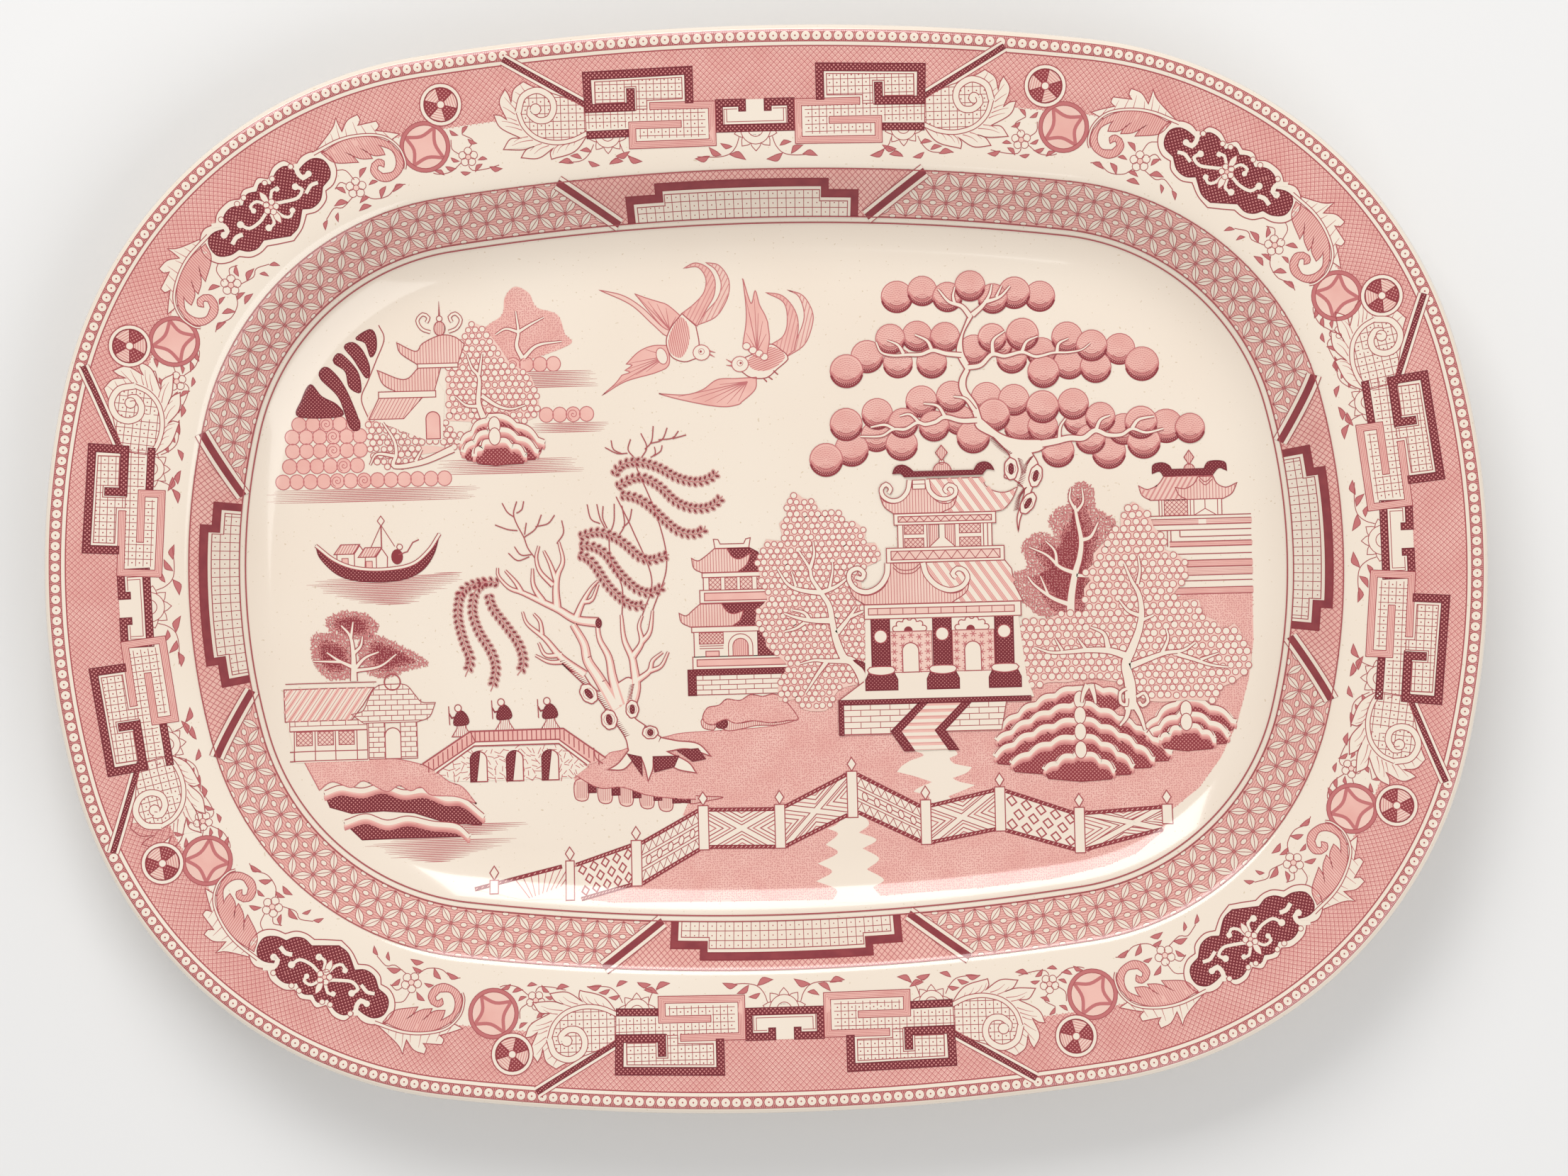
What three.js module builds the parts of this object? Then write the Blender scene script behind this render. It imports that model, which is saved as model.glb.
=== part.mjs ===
// An oval china serving platter, about 406 x 306 x 33 mm: one pressed and fired earthenware body.
// The plan is a three-centred oval with flat-ish sides, rounded ends and four round shoulders.
// Frame: millimetres, +Z up, origin on the table under the middle of the platter, X along its length.
import * as THREE from "three";

// ---- Plan of the outer lip ----
const HALF_LENGTH = 203;
const HALF_WIDTH = 153;
const SIDE_RADIUS = 712; // the long, nearly straight sides
const END_RADIUS = 230; // the two ends
const SHOULDER_RADIUS = 121; // the four rounded corners between them

// ---- Section: distance in from the lip, and height above the table ----
const RIM_HEIGHT = 33;
const WELL_FLOOR = 8.8; // height of the flat serving surface
const BASE_RECESS = 3.4; // height of the underside inside the foot
const FOOT_OUTER = 59; // distance in from the lip to the foot's outer edge
const FOOT_INNER = 62.6;

// Top of the lip, flange, shoulder, wall, and the turn into the well floor.
const TOP_SECTION = [
  [1.8, RIM_HEIGHT], [6, 32.5], [14, 31.4], [24, 29.9], [33, 28.5], [37, 27.6],
  [39.5, 26.7], [41.5, 25.4], [44, 23.2], [48, 19.4], [52, 15.9], [56, 13],
  [60, 10.9], [65, 9.4], [71, WELL_FLOOR],
];
// Round edge of the lip, underside of the flange, outside of the wall, foot and recess.
const UNDER_SECTION = [
  [0.6, 32.4], [0, 31.4], [0.9, 29.8], [2.5, 28.9], [8, 28], [20, 26], [31, 23.9],
  [37, 22.2], [40.5, 20], [44, 16.6], [48, 12.6], [52, 9.2], [55, 6.4], [57, 4],
  [58.2, 0.9], [FOOT_OUTER, 0], [FOOT_INNER, 0], [63.4, 0.9], [65, 2.8], [72, BASE_RECESS],
];

// ---- Steps along each arc of one quarter of the plan ----
const END_STEPS = 7;
const SHOULDER_STEPS = 11;
const SIDE_STEPS = 9;

// Centre of the shoulder arc, which touches the end arc and the side arc from inside.
function shoulderCentre() {
  const endCentre = new THREE.Vector2(HALF_LENGTH - END_RADIUS, 0);
  const sideCentre = new THREE.Vector2(0, HALF_WIDTH - SIDE_RADIUS);
  const toSide = SIDE_RADIUS - SHOULDER_RADIUS;
  const toEnd = END_RADIUS - SHOULDER_RADIUS;
  const apart = sideCentre.distanceTo(endCentre);
  const along = (toSide ** 2 - toEnd ** 2 + apart ** 2) / (2 * apart);
  const across = Math.sqrt(toSide ** 2 - along ** 2);
  const unit = endCentre.clone().sub(sideCentre).normalize();
  return sideCentre
    .clone()
    .addScaledVector(unit, along)
    .addScaledVector(new THREE.Vector2(unit.y, -unit.x), across);
}

// One quarter of the plan as centre, radius and angle for each station, from the +X end to the +Y side.
function quarterStations() {
  const centre = shoulderCentre();
  const endCentre = new THREE.Vector2(HALF_LENGTH - END_RADIUS, 0);
  const sideCentre = new THREE.Vector2(0, HALF_WIDTH - SIDE_RADIUS);
  const endAngle = centre.clone().sub(endCentre).angle();
  const sideAngle = centre.clone().sub(sideCentre).angle();
  const arcs = [
    [endCentre, END_RADIUS, 0, endAngle, END_STEPS],
    [centre, SHOULDER_RADIUS, endAngle, sideAngle, SHOULDER_STEPS],
    [sideCentre, SIDE_RADIUS, sideAngle, Math.PI / 2, SIDE_STEPS],
  ];
  return arcs.flatMap(([middle, radius, from, to, steps]) =>
    Array.from({ length: steps }, (_, i) => ({
      middle,
      radius,
      angle: from + ((to - from) * i) / steps,
    })),
  );
}

// The whole plan, moved in from the lip by a distance: the quarter, mirrored into the other three.
function planRing(inset) {
  const quarter = quarterStations().map(({ middle, radius, angle }) => [
    middle.x + (radius - inset) * Math.cos(angle),
    middle.y + (radius - inset) * Math.sin(angle),
  ]);
  const top = [0, HALF_WIDTH - inset];
  const halfTurn = quarter.slice(1).reverse().map(([x, y]) => [-x, y]);
  const upper = [...quarter, top, ...halfTurn];
  return [...upper, ...upper.map(([x, y]) => [-x, -y])];
}

// A closed body through a list of rings, each end closed by a flat fan about its centre.
function bodyThrough(section) {
  const rings = section.map(([inset, height]) =>
    planRing(inset).map(([x, y]) => [x, y, height]),
  );
  const around = rings[0].length;
  const points = rings.flat();
  const faces = [];
  for (let ring = 0; ring + 1 < rings.length; ring++) {
    for (let i = 0; i < around; i++) {
      const next = (i + 1) % around;
      const [a, b] = [ring * around + i, ring * around + next];
      const [c, d] = [a + around, b + around];
      faces.push([a, c, b], [b, c, d]);
    }
  }
  const firstHub = points.push([0, 0, section[0][1]]) - 1;
  const lastHub = points.push([0, 0, section.at(-1)[1]]) - 1;
  const lastRing = (rings.length - 1) * around;
  for (let i = 0; i < around; i++) {
    const next = (i + 1) % around;
    faces.push([firstHub, i, next], [lastHub, lastRing + next, lastRing + i]);
  }
  const geometry = new THREE.BufferGeometry();
  geometry.setAttribute("position", new THREE.Float32BufferAttribute(points.flat(), 3));
  geometry.setIndex(faces.flat());
  geometry.computeVertexNormals();
  return geometry;
}

function makePlatterBody() {
  const fromWellToFoot = [...[...TOP_SECTION].reverse(), ...UNDER_SECTION];
  const glazedEarthenware = new THREE.MeshStandardMaterial({
    color: 0xf3e7d3,
    roughness: 0.12,
    metalness: 0,
  });
  const body = new THREE.Mesh(bodyThrough(fromWellToFoot), glazedEarthenware);
  body.name = "platter_body";
  return body;
}

const platter = new THREE.Group();
platter.add(makePlatterBody());

export default platter;
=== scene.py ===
"""Looks of an oval transfer-printed china platter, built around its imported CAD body.

Lengths are millimetres in the plan of the platter (X along its length, Y towards the top of the
printed scene) until a mesh is made, which is in metres. The printed decoration is real geometry:
flat shapes of ink, laid on the curved glaze by the same section that shapes the body.
"""

import math

import bpy
import numpy as np
from mathutils import Matrix, Vector
from mathutils.geometry import tessellate_polygon


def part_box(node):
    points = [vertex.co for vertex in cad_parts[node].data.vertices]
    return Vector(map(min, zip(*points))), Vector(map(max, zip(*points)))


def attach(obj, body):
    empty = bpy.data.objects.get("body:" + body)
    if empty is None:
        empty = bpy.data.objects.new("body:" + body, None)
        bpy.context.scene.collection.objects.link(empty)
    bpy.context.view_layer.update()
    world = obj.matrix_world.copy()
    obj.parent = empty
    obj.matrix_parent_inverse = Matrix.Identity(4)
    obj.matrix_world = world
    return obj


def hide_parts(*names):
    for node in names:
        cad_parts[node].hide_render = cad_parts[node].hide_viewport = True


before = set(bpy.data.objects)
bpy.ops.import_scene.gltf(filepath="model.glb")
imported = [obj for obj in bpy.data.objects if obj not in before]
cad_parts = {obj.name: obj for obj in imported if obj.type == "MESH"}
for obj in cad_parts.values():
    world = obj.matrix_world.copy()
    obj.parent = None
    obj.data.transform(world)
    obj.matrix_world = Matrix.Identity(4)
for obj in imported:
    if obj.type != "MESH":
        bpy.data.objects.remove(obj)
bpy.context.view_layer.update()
MM = 0.001

# ------------------------------------------------------------------ the platter's plan
HALF_LENGTH, HALF_WIDTH, RIM_HEIGHT = (round(v / MM, 2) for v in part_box("platter_body")[1])
SIDE_RADIUS, END_RADIUS, SHOULDER_RADIUS = 712.0, 230.0, 121.0


def shoulder_centre():
    """Centre of the shoulder arc, which touches the end arc and the side arc from inside."""
    end = np.array([HALF_LENGTH - END_RADIUS, 0.0])
    side = np.array([0.0, HALF_WIDTH - SIDE_RADIUS])
    to_side, to_end = SIDE_RADIUS - SHOULDER_RADIUS, END_RADIUS - SHOULDER_RADIUS
    apart = np.linalg.norm(end - side)
    along = (to_side**2 - to_end**2 + apart**2) / (2 * apart)
    across = math.sqrt(to_side**2 - along**2)
    unit = (end - side) / apart
    return side + unit * along + np.array([unit[1], -unit[0]]) * across


END_CENTRE = np.array([HALF_LENGTH - END_RADIUS, 0.0])
SIDE_CENTRE = np.array([0.0, HALF_WIDTH - SIDE_RADIUS])
SHOULDER_CENTRE = shoulder_centre()
END_ANGLE = math.atan2(*(SHOULDER_CENTRE - END_CENTRE)[::-1])
SIDE_ANGLE = math.atan2(*(SHOULDER_CENTRE - SIDE_CENTRE)[::-1])
SIDE_RUN = SIDE_RADIUS * (math.pi / 2 - SIDE_ANGLE)
SHOULDER_RUN = SHOULDER_RADIUS * (SIDE_ANGLE - END_ANGLE)
END_RUN = END_RADIUS * END_ANGLE
QUARTER = SIDE_RUN + SHOULDER_RUN + END_RUN
PERIMETER = 4 * QUARTER


def lip_frame(s):
    """Point on the lip, direction along it and direction inwards, at lengths s clockwise from the top."""
    s = np.mod(np.asarray(s, float), PERIMETER)
    quadrant = (s // QUARTER).astype(int)
    within = s - quadrant * QUARTER
    q = np.where(quadrant % 2 == 1, QUARTER - within, within)
    on_side, on_end = q < SIDE_RUN, q > SIDE_RUN + SHOULDER_RUN
    angle = np.where(
        on_side,
        math.pi / 2 - q / SIDE_RADIUS,
        np.where(
            on_end,
            END_ANGLE - (q - SIDE_RUN - SHOULDER_RUN) / END_RADIUS,
            SIDE_ANGLE - (q - SIDE_RUN) / SHOULDER_RADIUS,
        ),
    )
    radius = np.where(on_side, SIDE_RADIUS, np.where(on_end, END_RADIUS, SHOULDER_RADIUS))
    centre = np.where(
        on_side[..., None], SIDE_CENTRE, np.where(on_end[..., None], END_CENTRE, SHOULDER_CENTRE)
    )
    outward = np.stack([np.cos(angle), np.sin(angle)], -1)
    mirror = np.stack([np.where(quadrant > 1, -1, 1), np.where(quadrant % 3 == 0, 1, -1)], -1)
    point = (centre + outward * radius[..., None]) * mirror
    inward = -outward * mirror
    along = np.stack([-inward[..., 1], inward[..., 0]], -1)
    return point, along, inward


def plan_depth(points):
    """Distance in from the lip, and the direction inwards, of plan points."""
    p = np.abs(points)
    to_side, to_end = SHOULDER_CENTRE - SIDE_CENTRE, SHOULDER_CENTRE - END_CENTRE
    a, b = p - SIDE_CENTRE, p - END_CENTRE
    on_side = to_side[0] * a[:, 1] - to_side[1] * a[:, 0] > 0
    on_end = to_end[0] * b[:, 1] - to_end[1] * b[:, 0] < 0
    centre = np.where(
        on_side[:, None], SIDE_CENTRE, np.where(on_end[:, None], END_CENTRE, SHOULDER_CENTRE)
    )
    radius = np.where(on_side, SIDE_RADIUS, np.where(on_end, END_RADIUS, SHOULDER_RADIUS))
    arm = p - centre
    reach = np.linalg.norm(arm, axis=1)
    sign = np.where(points < 0, -1.0, 1.0)
    return radius - reach, -arm / reach[:, None] * sign


def around(points):
    """Strip place (s, t): s along the lip, t in from it, as plan points."""
    points = np.asarray(points, float)
    lip, _, inward = lip_frame(points[:, 0])
    return lip + inward * points[:, 1:2]


# ------------------------------------------------------------------ the platter's section
WELL_FLOOR, BASE_RECESS = 8.8, 3.4
FLOOR_START = 71.0  # distance in from the lip to the flat floor
TOP_SECTION = [
    (0.6, 32.4), (1.8, RIM_HEIGHT), (6, 32.5), (14, 31.4), (24, 29.9), (33, 28.5), (37, 27.6),
    (39.5, 26.7), (41.5, 25.4), (44, 23.2), (48, 19.4), (52, 15.9), (56, 13.0), (60, 10.9),
    (65, 9.4), (FLOOR_START, WELL_FLOOR), (76, WELL_FLOOR), (80, WELL_FLOOR),
]
UNDER_SECTION = [
    (0, 31.4), (0.9, 29.8), (2.5, 28.9), (8, 28.0), (20, 26.0), (31, 23.9), (37, 22.2),
    (40.5, 20.0), (44, 16.6), (48, 12.6), (52, 9.2), (55, 6.4), (57, 4.0), (58.2, 0.9), (59, 0),
    (62.6, 0), (63.4, 0.9), (65, 2.8), (72, BASE_RECESS),
]


def spline(knots):
    """Natural cubic spline through 2-D knots, as a function of the distance between them."""
    knots = np.asarray(knots, float)
    gap = np.linalg.norm(np.diff(knots, axis=0), axis=1)
    at = np.concatenate([[0], np.cumsum(gap)])
    n = len(knots)
    rows, sums = np.eye(n), np.zeros((n, 2))
    for i in range(1, n - 1):
        rows[i, i - 1 : i + 2] = gap[i - 1], 2 * (gap[i - 1] + gap[i]), gap[i]
        rise = np.diff(knots[i - 1 : i + 2], axis=0) / gap[i - 1 : i + 1, None]
        sums[i] = 6 * (rise[1] - rise[0])
    bend = np.linalg.solve(rows, sums)

    def point(u):
        u = np.asarray(u, float)
        i = np.clip(np.searchsorted(at, u) - 1, 0, n - 2)
        h, left, right = gap[i][:, None], (u - at[i])[:, None], (at[i + 1] - u)[:, None]
        return (
            (bend[i] * right**3 + bend[i + 1] * left**3) / (6 * h)
            + (knots[i] / h - bend[i] * h / 6) * right
            + (knots[i + 1] / h - bend[i + 1] * h / 6) * left
        )

    return point, at


def top_table():
    """Close steps of inset, height and slope along the top of the section."""
    point, at = spline(TOP_SECTION)
    steps = point(np.arange(0, at[-1], 0.02))
    inset, height = np.maximum.accumulate(steps[:, 0]), steps[:, 1]
    height = np.where(inset > FLOOR_START, WELL_FLOOR, height)
    slope = np.gradient(height, np.arange(len(height))) / np.maximum(
        np.gradient(inset, np.arange(len(height))), 1e-4
    )
    return inset, height, slope


TOP_INSET, TOP_HEIGHT, TOP_SLOPE = top_table()


def on_glaze(points, lift=0.0):
    """Plan points as 3-D points on the top of the platter, lift above it, and their normals."""
    inset, inward = plan_depth(points)
    height = np.interp(inset, TOP_INSET, TOP_HEIGHT)
    slope = np.interp(inset, TOP_INSET, TOP_SLOPE)
    normal = np.concatenate([-slope[:, None] * inward, np.ones((len(points), 1))], 1)
    normal /= np.linalg.norm(normal, axis=1)[:, None]
    lift = np.broadcast_to(lift, (len(points),))[:, None]
    return np.concatenate([points, height[:, None]], 1) + normal * lift, normal


# ------------------------------------------------------------------ drawing in ink
FILM, LEVEL_STEP = 0.02, 0.008  # height of the first level of ink above the glaze, and of each next


def polar(centre, radius, degrees):
    a = np.radians(degrees)
    return np.asarray(centre) + radius * np.stack([np.cos(a), np.sin(a)], -1)


def arc(centre, radius, start, stop, steps=12):
    """Points on an arc between two angles in degrees."""
    return polar(centre, radius, np.linspace(start, stop, steps + 1))


def oval(centre, rx, ry, turn=0.0, steps=16):
    a = np.linspace(0, 2 * math.pi, steps + 1)[:-1]
    x, y, c, s = rx * np.cos(a), ry * np.sin(a), math.cos(turn), math.sin(turn)
    return np.asarray(centre) + np.stack([x * c - y * s, x * s + y * c], -1)


def smooth(points, closed=False, step=0.7):
    """A Catmull-Rom curve through points."""
    p = np.asarray(points, float)
    if len(p) < 3:
        return p
    if closed:
        p = np.concatenate([p[-1:], p, p[:2]])
    else:
        p = np.concatenate([2 * p[:1] - p[1:2], p, 2 * p[-1:] - p[-2:-1]])
    made = []
    for a, b, c, d in zip(p[:-3], p[1:-2], p[2:-1], p[3:]):
        n = max(2, min(12, int(np.linalg.norm(c - b) / step)))
        t = np.linspace(0, 1, n + 1)[:-1, None]
        made.append(
            0.5 * (2 * b + (c - a) * t + (2 * a - 5 * b + 4 * c - d) * t**2
                   + (3 * b - a - 3 * c + d) * t**3)
        )
    if not closed:
        made.append(p[-2:-1])
    return np.concatenate(made)


def spaced(points, step):
    """The same line with no stretch longer than step."""
    if step is None:
        return points
    made = [points[:1]]
    for a, b in zip(points[:-1], points[1:]):
        n = max(1, math.ceil(np.linalg.norm(b - a) / step))
        made.append(a + (b - a) * (np.arange(1, n + 1) / n)[:, None])
    return np.concatenate(made)


def ribbon(points, widths, closed=False):
    """Left and right edges of a line of the given widths, mitred at its corners."""
    if closed:
        before, after = np.roll(points, 1, 0), np.roll(points, -1, 0)
    else:
        before = np.concatenate([points[:1], points[:-1]])
        after = np.concatenate([points[1:], points[-1:]])
    a, b = points - before, after - points
    if not closed:
        a[0], b[-1] = b[0], a[-1]
    a /= np.maximum(np.linalg.norm(a, axis=1), 1e-9)[:, None]
    b /= np.maximum(np.linalg.norm(b, axis=1), 1e-9)[:, None]
    side = np.stack([-(a + b)[:, 1], (a + b)[:, 0]], -1)
    length = np.linalg.norm(side, axis=1)
    flat = length < 1e-6
    side[flat] = np.stack([-a[flat][:, 1], a[flat][:, 0]], -1)
    side /= np.maximum(np.linalg.norm(side, axis=1), 1e-9)[:, None]
    reach = 1 / np.clip(length / 2, 0.45, 1)
    half = side * (np.asarray(widths) / 2 * reach)[:, None]
    return points + half, points - half


def inside(points, outline):
    """Which points lie in a closed outline, by the even-odd rule."""
    x, y = points[:, 0][:, None], points[:, 1][:, None]
    x0, y0 = outline[:, 0], outline[:, 1]
    x1, y1 = np.roll(x0, -1), np.roll(y0, -1)
    crosses = (y0 > y) != (y1 > y)
    with np.errstate(divide="ignore", invalid="ignore"):
        at = (x1 - x0) * (y - y0) / (y1 - y0) + x0
    return (crosses & (x < at)).sum(1) % 2 == 1


class Artwork:
    """The ink shapes of one printed piece, in plan millimetres."""

    def __init__(self, name):
        self.name = name
        self.strips, self.areas, self.quads = [], [], []


class Pen:
    """Draws on an artwork through a placing function, at a level above the glaze."""

    def __init__(self, art, place=None, level=0, step=None):
        self.art, self.place, self.level, self.step = art, place, level, step

    def placed(self, points):
        points = np.asarray(points, float).reshape(-1, 2)
        return self.place(points) if self.place else points

    def up(self, levels):
        return Pen(self.art, self.place, self.level + levels, self.step)

    def line(self, points, width=0.25, ink="line", to=None, swell=False, closed=False):
        """A line with straight stretches. It narrows or widens to `to`, or swells in its middle."""
        points = np.asarray(points, float)
        if closed:
            points = np.concatenate([points, points[:1]])
        points = spaced(points, self.step)
        if closed:
            points = points[:-1]
        run = np.concatenate([[0], np.cumsum(np.linalg.norm(np.diff(points, axis=0), axis=1))])
        run = run / max(run[-1], 1e-9)
        widths = width + ((width if to is None else to) - width) * run
        if swell:
            widths = widths * (0.12 + 0.88 * np.sin(math.pi * run))
        left, right = ribbon(self.placed(points), widths, closed)
        self.art.strips.append((self.level, ink, left, right, closed))

    def curve(self, points, width=0.25, ink="line", to=None, swell=False, closed=False):
        """A smooth line through points."""
        self.line(smooth(points, closed), width, ink, to, swell, closed)

    def area(self, points, ink="pale", holes=()):
        """A flat shape with straight edges, and holes in it."""
        loops = [points, *holes]
        placed = []
        for loop in loops:
            loop = np.asarray(loop, float)
            closed = spaced(np.concatenate([loop, loop[:1]]), self.step)[:-1]
            placed.append(self.placed(closed))
        self.art.areas.append((self.level, ink, placed))

    def form(self, points, fill="ivory", width=0.25, ink="line", curved=True):
        """A filled shape with its outline drawn round it."""
        points = smooth(points, True) if curved else np.asarray(points, float)
        if fill:
            self.area(points, fill)
        if width:
            self.up(1).line(points, width, ink, closed=True)

    def disc(self, centre, radius, ink="line", steps=12):
        self.area(oval(centre, radius, radius, 0, steps), ink)

    def ring(self, centre, radius, width=0.25, ink="line", steps=18):
        self.line(oval(centre, radius, radius, 0, steps), width, ink, closed=True)

    def hatch(self, outline, degrees, pitch, width=0.2, ink="line", phase=0.0, swell=False):
        """Parallel lines across a closed outline."""
        outline = np.asarray(outline, float)
        a = math.radians(degrees)
        along, across = np.array([math.cos(a), math.sin(a)]), np.array([-math.sin(a), math.cos(a)])
        u, v = outline @ along, outline @ across
        u1, v1 = np.roll(u, -1), np.roll(v, -1)
        for level in np.arange(math.ceil(v.min() / pitch) + phase, v.max() / pitch, 1.0) * pitch:
            hit = (v > level) != (v1 > level)
            ends = np.sort(u[hit] + (level - v[hit]) * (u1[hit] - u[hit]) / (v1[hit] - v[hit]))
            for start, stop in zip(ends[::2], ends[1::2]):
                if stop - start > 0.15:
                    ends_at = [along * start + across * level, along * stop + across * level]
                    points = spaced(np.array(ends_at), 1.5) if swell else ends_at
                    self.line(points, width, ink, swell=swell)


def refined(points, triangles):
    """Splits triangles until each edge's middle lies on the glaze, sharing the new points.

    A point is its two plan coordinates and its rise above its level.
    """
    for _ in range(7):
        edges = np.sort(triangles[:, [[0, 1], [1, 2], [2, 0]]].reshape(-1, 2), axis=1)
        edges, which = np.unique(edges, axis=0, return_inverse=True)
        which = which.reshape(-1, 3)
        start, stop = points[edges[:, 0]], points[edges[:, 1]]
        middle = (start + stop) / 2
        sag = on_glaze(middle[:, :2])[0] - (on_glaze(start[:, :2])[0] + on_glaze(stop[:, :2])[0]) / 2
        long = np.linalg.norm(sag, axis=1) > SAG_LIMIT
        if not long.any():
            break
        new = np.full(len(edges), -1)
        new[long] = len(points) + np.arange(long.sum())
        points = np.concatenate([points, middle[long]])
        split, made = new[which], []
        for cut in range(8):
            rows = ((split >= 0) @ np.array([1, 2, 4])) == cut
            a, b, c = triangles[rows].T
            ab, bc, ca = split[rows].T
            made += [np.stack(t, 1) for t in SPLITS[cut](a, b, c, ab, bc, ca)]
        triangles = np.concatenate(made)
    return points, triangles


SAG_LIMIT = 0.005
SPLITS = [
    lambda a, b, c, ab, bc, ca: [(a, b, c)],
    lambda a, b, c, ab, bc, ca: [(a, ab, c), (ab, b, c)],
    lambda a, b, c, ab, bc, ca: [(a, b, bc), (a, bc, c)],
    lambda a, b, c, ab, bc, ca: [(a, ab, c), (ab, b, bc), (ab, bc, c)],
    lambda a, b, c, ab, bc, ca: [(a, b, ca), (ca, b, c)],
    lambda a, b, c, ab, bc, ca: [(a, ab, ca), (ab, b, c), (ab, c, ca)],
    lambda a, b, c, ab, bc, ca: [(c, ca, bc), (ca, a, bc), (a, b, bc)],
    lambda a, b, c, ab, bc, ca: [(a, ab, ca), (ab, b, bc), (ca, bc, c), (ab, bc, ca)],
]


def strip_mesh(left, right, closed):
    """Points and triangles between the two edges of a line."""
    n = len(left)
    i = np.arange(n if closed else n - 1)
    j = (i + 1) % n
    return np.concatenate([left, right]), np.concatenate(
        [np.stack([i, i + n, j + n], 1), np.stack([i, j + n, j], 1)]
    )


def area_mesh(loops):
    """Points and triangles of a flat shape with holes."""
    flat = np.concatenate(loops)
    faces = tessellate_polygon([[Vector((x, y, 0)) for x, y in loop] for loop in loops])
    return flat, np.array(faces, int).reshape(-1, 3)


RISES = 8  # steps in half a level, so that lines of one ink that cross don't lie in one plane


def risen(points, rise):
    return np.concatenate([points, np.broadcast_to(rise, len(points))[:, None]], 1)


def lay(art):
    """Makes the meshes of an artwork, one for each kind of ink, on the glaze."""
    shapes = {}
    for level, ink, left, right, closed in art.strips:
        points, faces = strip_mesh(left, right, closed)
        made = shapes.setdefault(ink, [])
        made.append((level, risen(points, len(made) % RISES), faces))
    for level, ink, loops in art.areas:
        points, faces = area_mesh(loops)
        if len(faces):
            made = shapes.setdefault(ink, [])
            made.append((level, risen(points, len(made) % RISES), faces))
    for level, ink, quads in art.quads:
        n = np.arange(len(quads))[:, None] * 4
        faces = np.concatenate([n + [0, 1, 2], n + [0, 2, 3]])
        rise = np.repeat(np.arange(len(quads)) % RISES, 4)
        shapes.setdefault(ink, []).append((level, risen(quads.reshape(-1, 2), rise), faces))
    pieces = {}
    for ink, made in shapes.items():
        pieces.setdefault(PIECE_OF.get(ink, "lines"), []).append((ink, made))
    for kind, inks in pieces.items():
        all_points, all_faces, all_lifts, all_slots = [], [], [], []
        total = 0
        for slot_index, (_ink, made) in enumerate(inks):
            for level in sorted({m[0] for m in made}):
                points, faces, count = [], [], 0
                for each_level, p, f in made:
                    if each_level == level:
                        points.append(p)
                        faces.append(f + count)
                        count += len(p)
                points, faces = refined(np.concatenate(points), np.concatenate(faces))
                a, b, c = (points[faces[:, i]] for i in range(3))
                turn = (b - a)[:, 0] * (c - a)[:, 1] - (b - a)[:, 1] * (c - a)[:, 0]
                faces = np.where(turn[:, None] < 0, faces[:, ::-1], faces)[np.abs(turn) > 1e-7]
                all_points.append(points[:, :2])
                all_faces.append(faces + total)
                all_lifts.append(FILM + LEVEL_STEP * (level + points[:, 2] / RISES / 2))
                all_slots.append(np.full(len(faces), slot_index))
                total += len(points)
        points, normals = on_glaze(np.concatenate(all_points), np.concatenate(all_lifts))
        finish_mesh(
            f"{art.name}_{kind}", points, np.concatenate(all_faces), normals,
            [INKS[ink] for ink, _ in inks], np.concatenate(all_slots),
        )


def finish_mesh(name, points, faces, normals, materials, slots=None):
    """A piece from points in millimetres and triangles, riding the platter."""
    mesh = bpy.data.meshes.new(name)
    mesh.vertices.add(len(points))
    mesh.vertices.foreach_set("co", (points * MM).astype(np.float32).ravel())
    mesh.loops.add(faces.size)
    mesh.loops.foreach_set("vertex_index", faces.astype(np.int32).ravel())
    mesh.polygons.add(len(faces))
    mesh.polygons.foreach_set("loop_start", np.arange(0, faces.size, 3, dtype=np.int32))
    mesh.update(calc_edges=True)
    for material in materials:
        mesh.materials.append(material)
    if slots is not None:
        mesh.polygons.foreach_set("material_index", slots.astype(np.int32))
    mesh.polygons.foreach_set("use_smooth", np.ones(len(faces), bool))
    mesh.normals_split_custom_set_from_vertices(normals.astype(np.float32))
    piece = bpy.data.objects.new(name, mesh)
    bpy.context.collection.objects.link(piece)
    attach(piece, "root")
    return piece


# ------------------------------------------------------------------ materials
def colour(red, green, blue):
    """A screen colour, 0 to 255, as linear light."""
    values = np.array([red, green, blue]) / 255
    linear = np.where(values <= 0.04045, values / 12.92, ((values + 0.055) / 1.055) ** 2.4)
    return (*linear, 1.0)


GLOSS = 0.13
COAT, COAT_ROUGHNESS = 0.5, 0.05
IVORY = (243, 230, 214)
IVORY_WARM = (240, 225, 208)


def glazed(name, shade):
    """A plain glazed ink."""
    material = bpy.data.materials.new(name)
    material.use_nodes = True
    shader = material.node_tree.nodes["Principled BSDF"]
    shader.inputs["Base Color"].default_value = colour(*shade)
    shader.inputs["Roughness"].default_value = GLOSS
    shader.inputs["Coat Weight"].default_value = COAT
    shader.inputs["Coat Roughness"].default_value = COAT_ROUGHNESS
    return material


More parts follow.
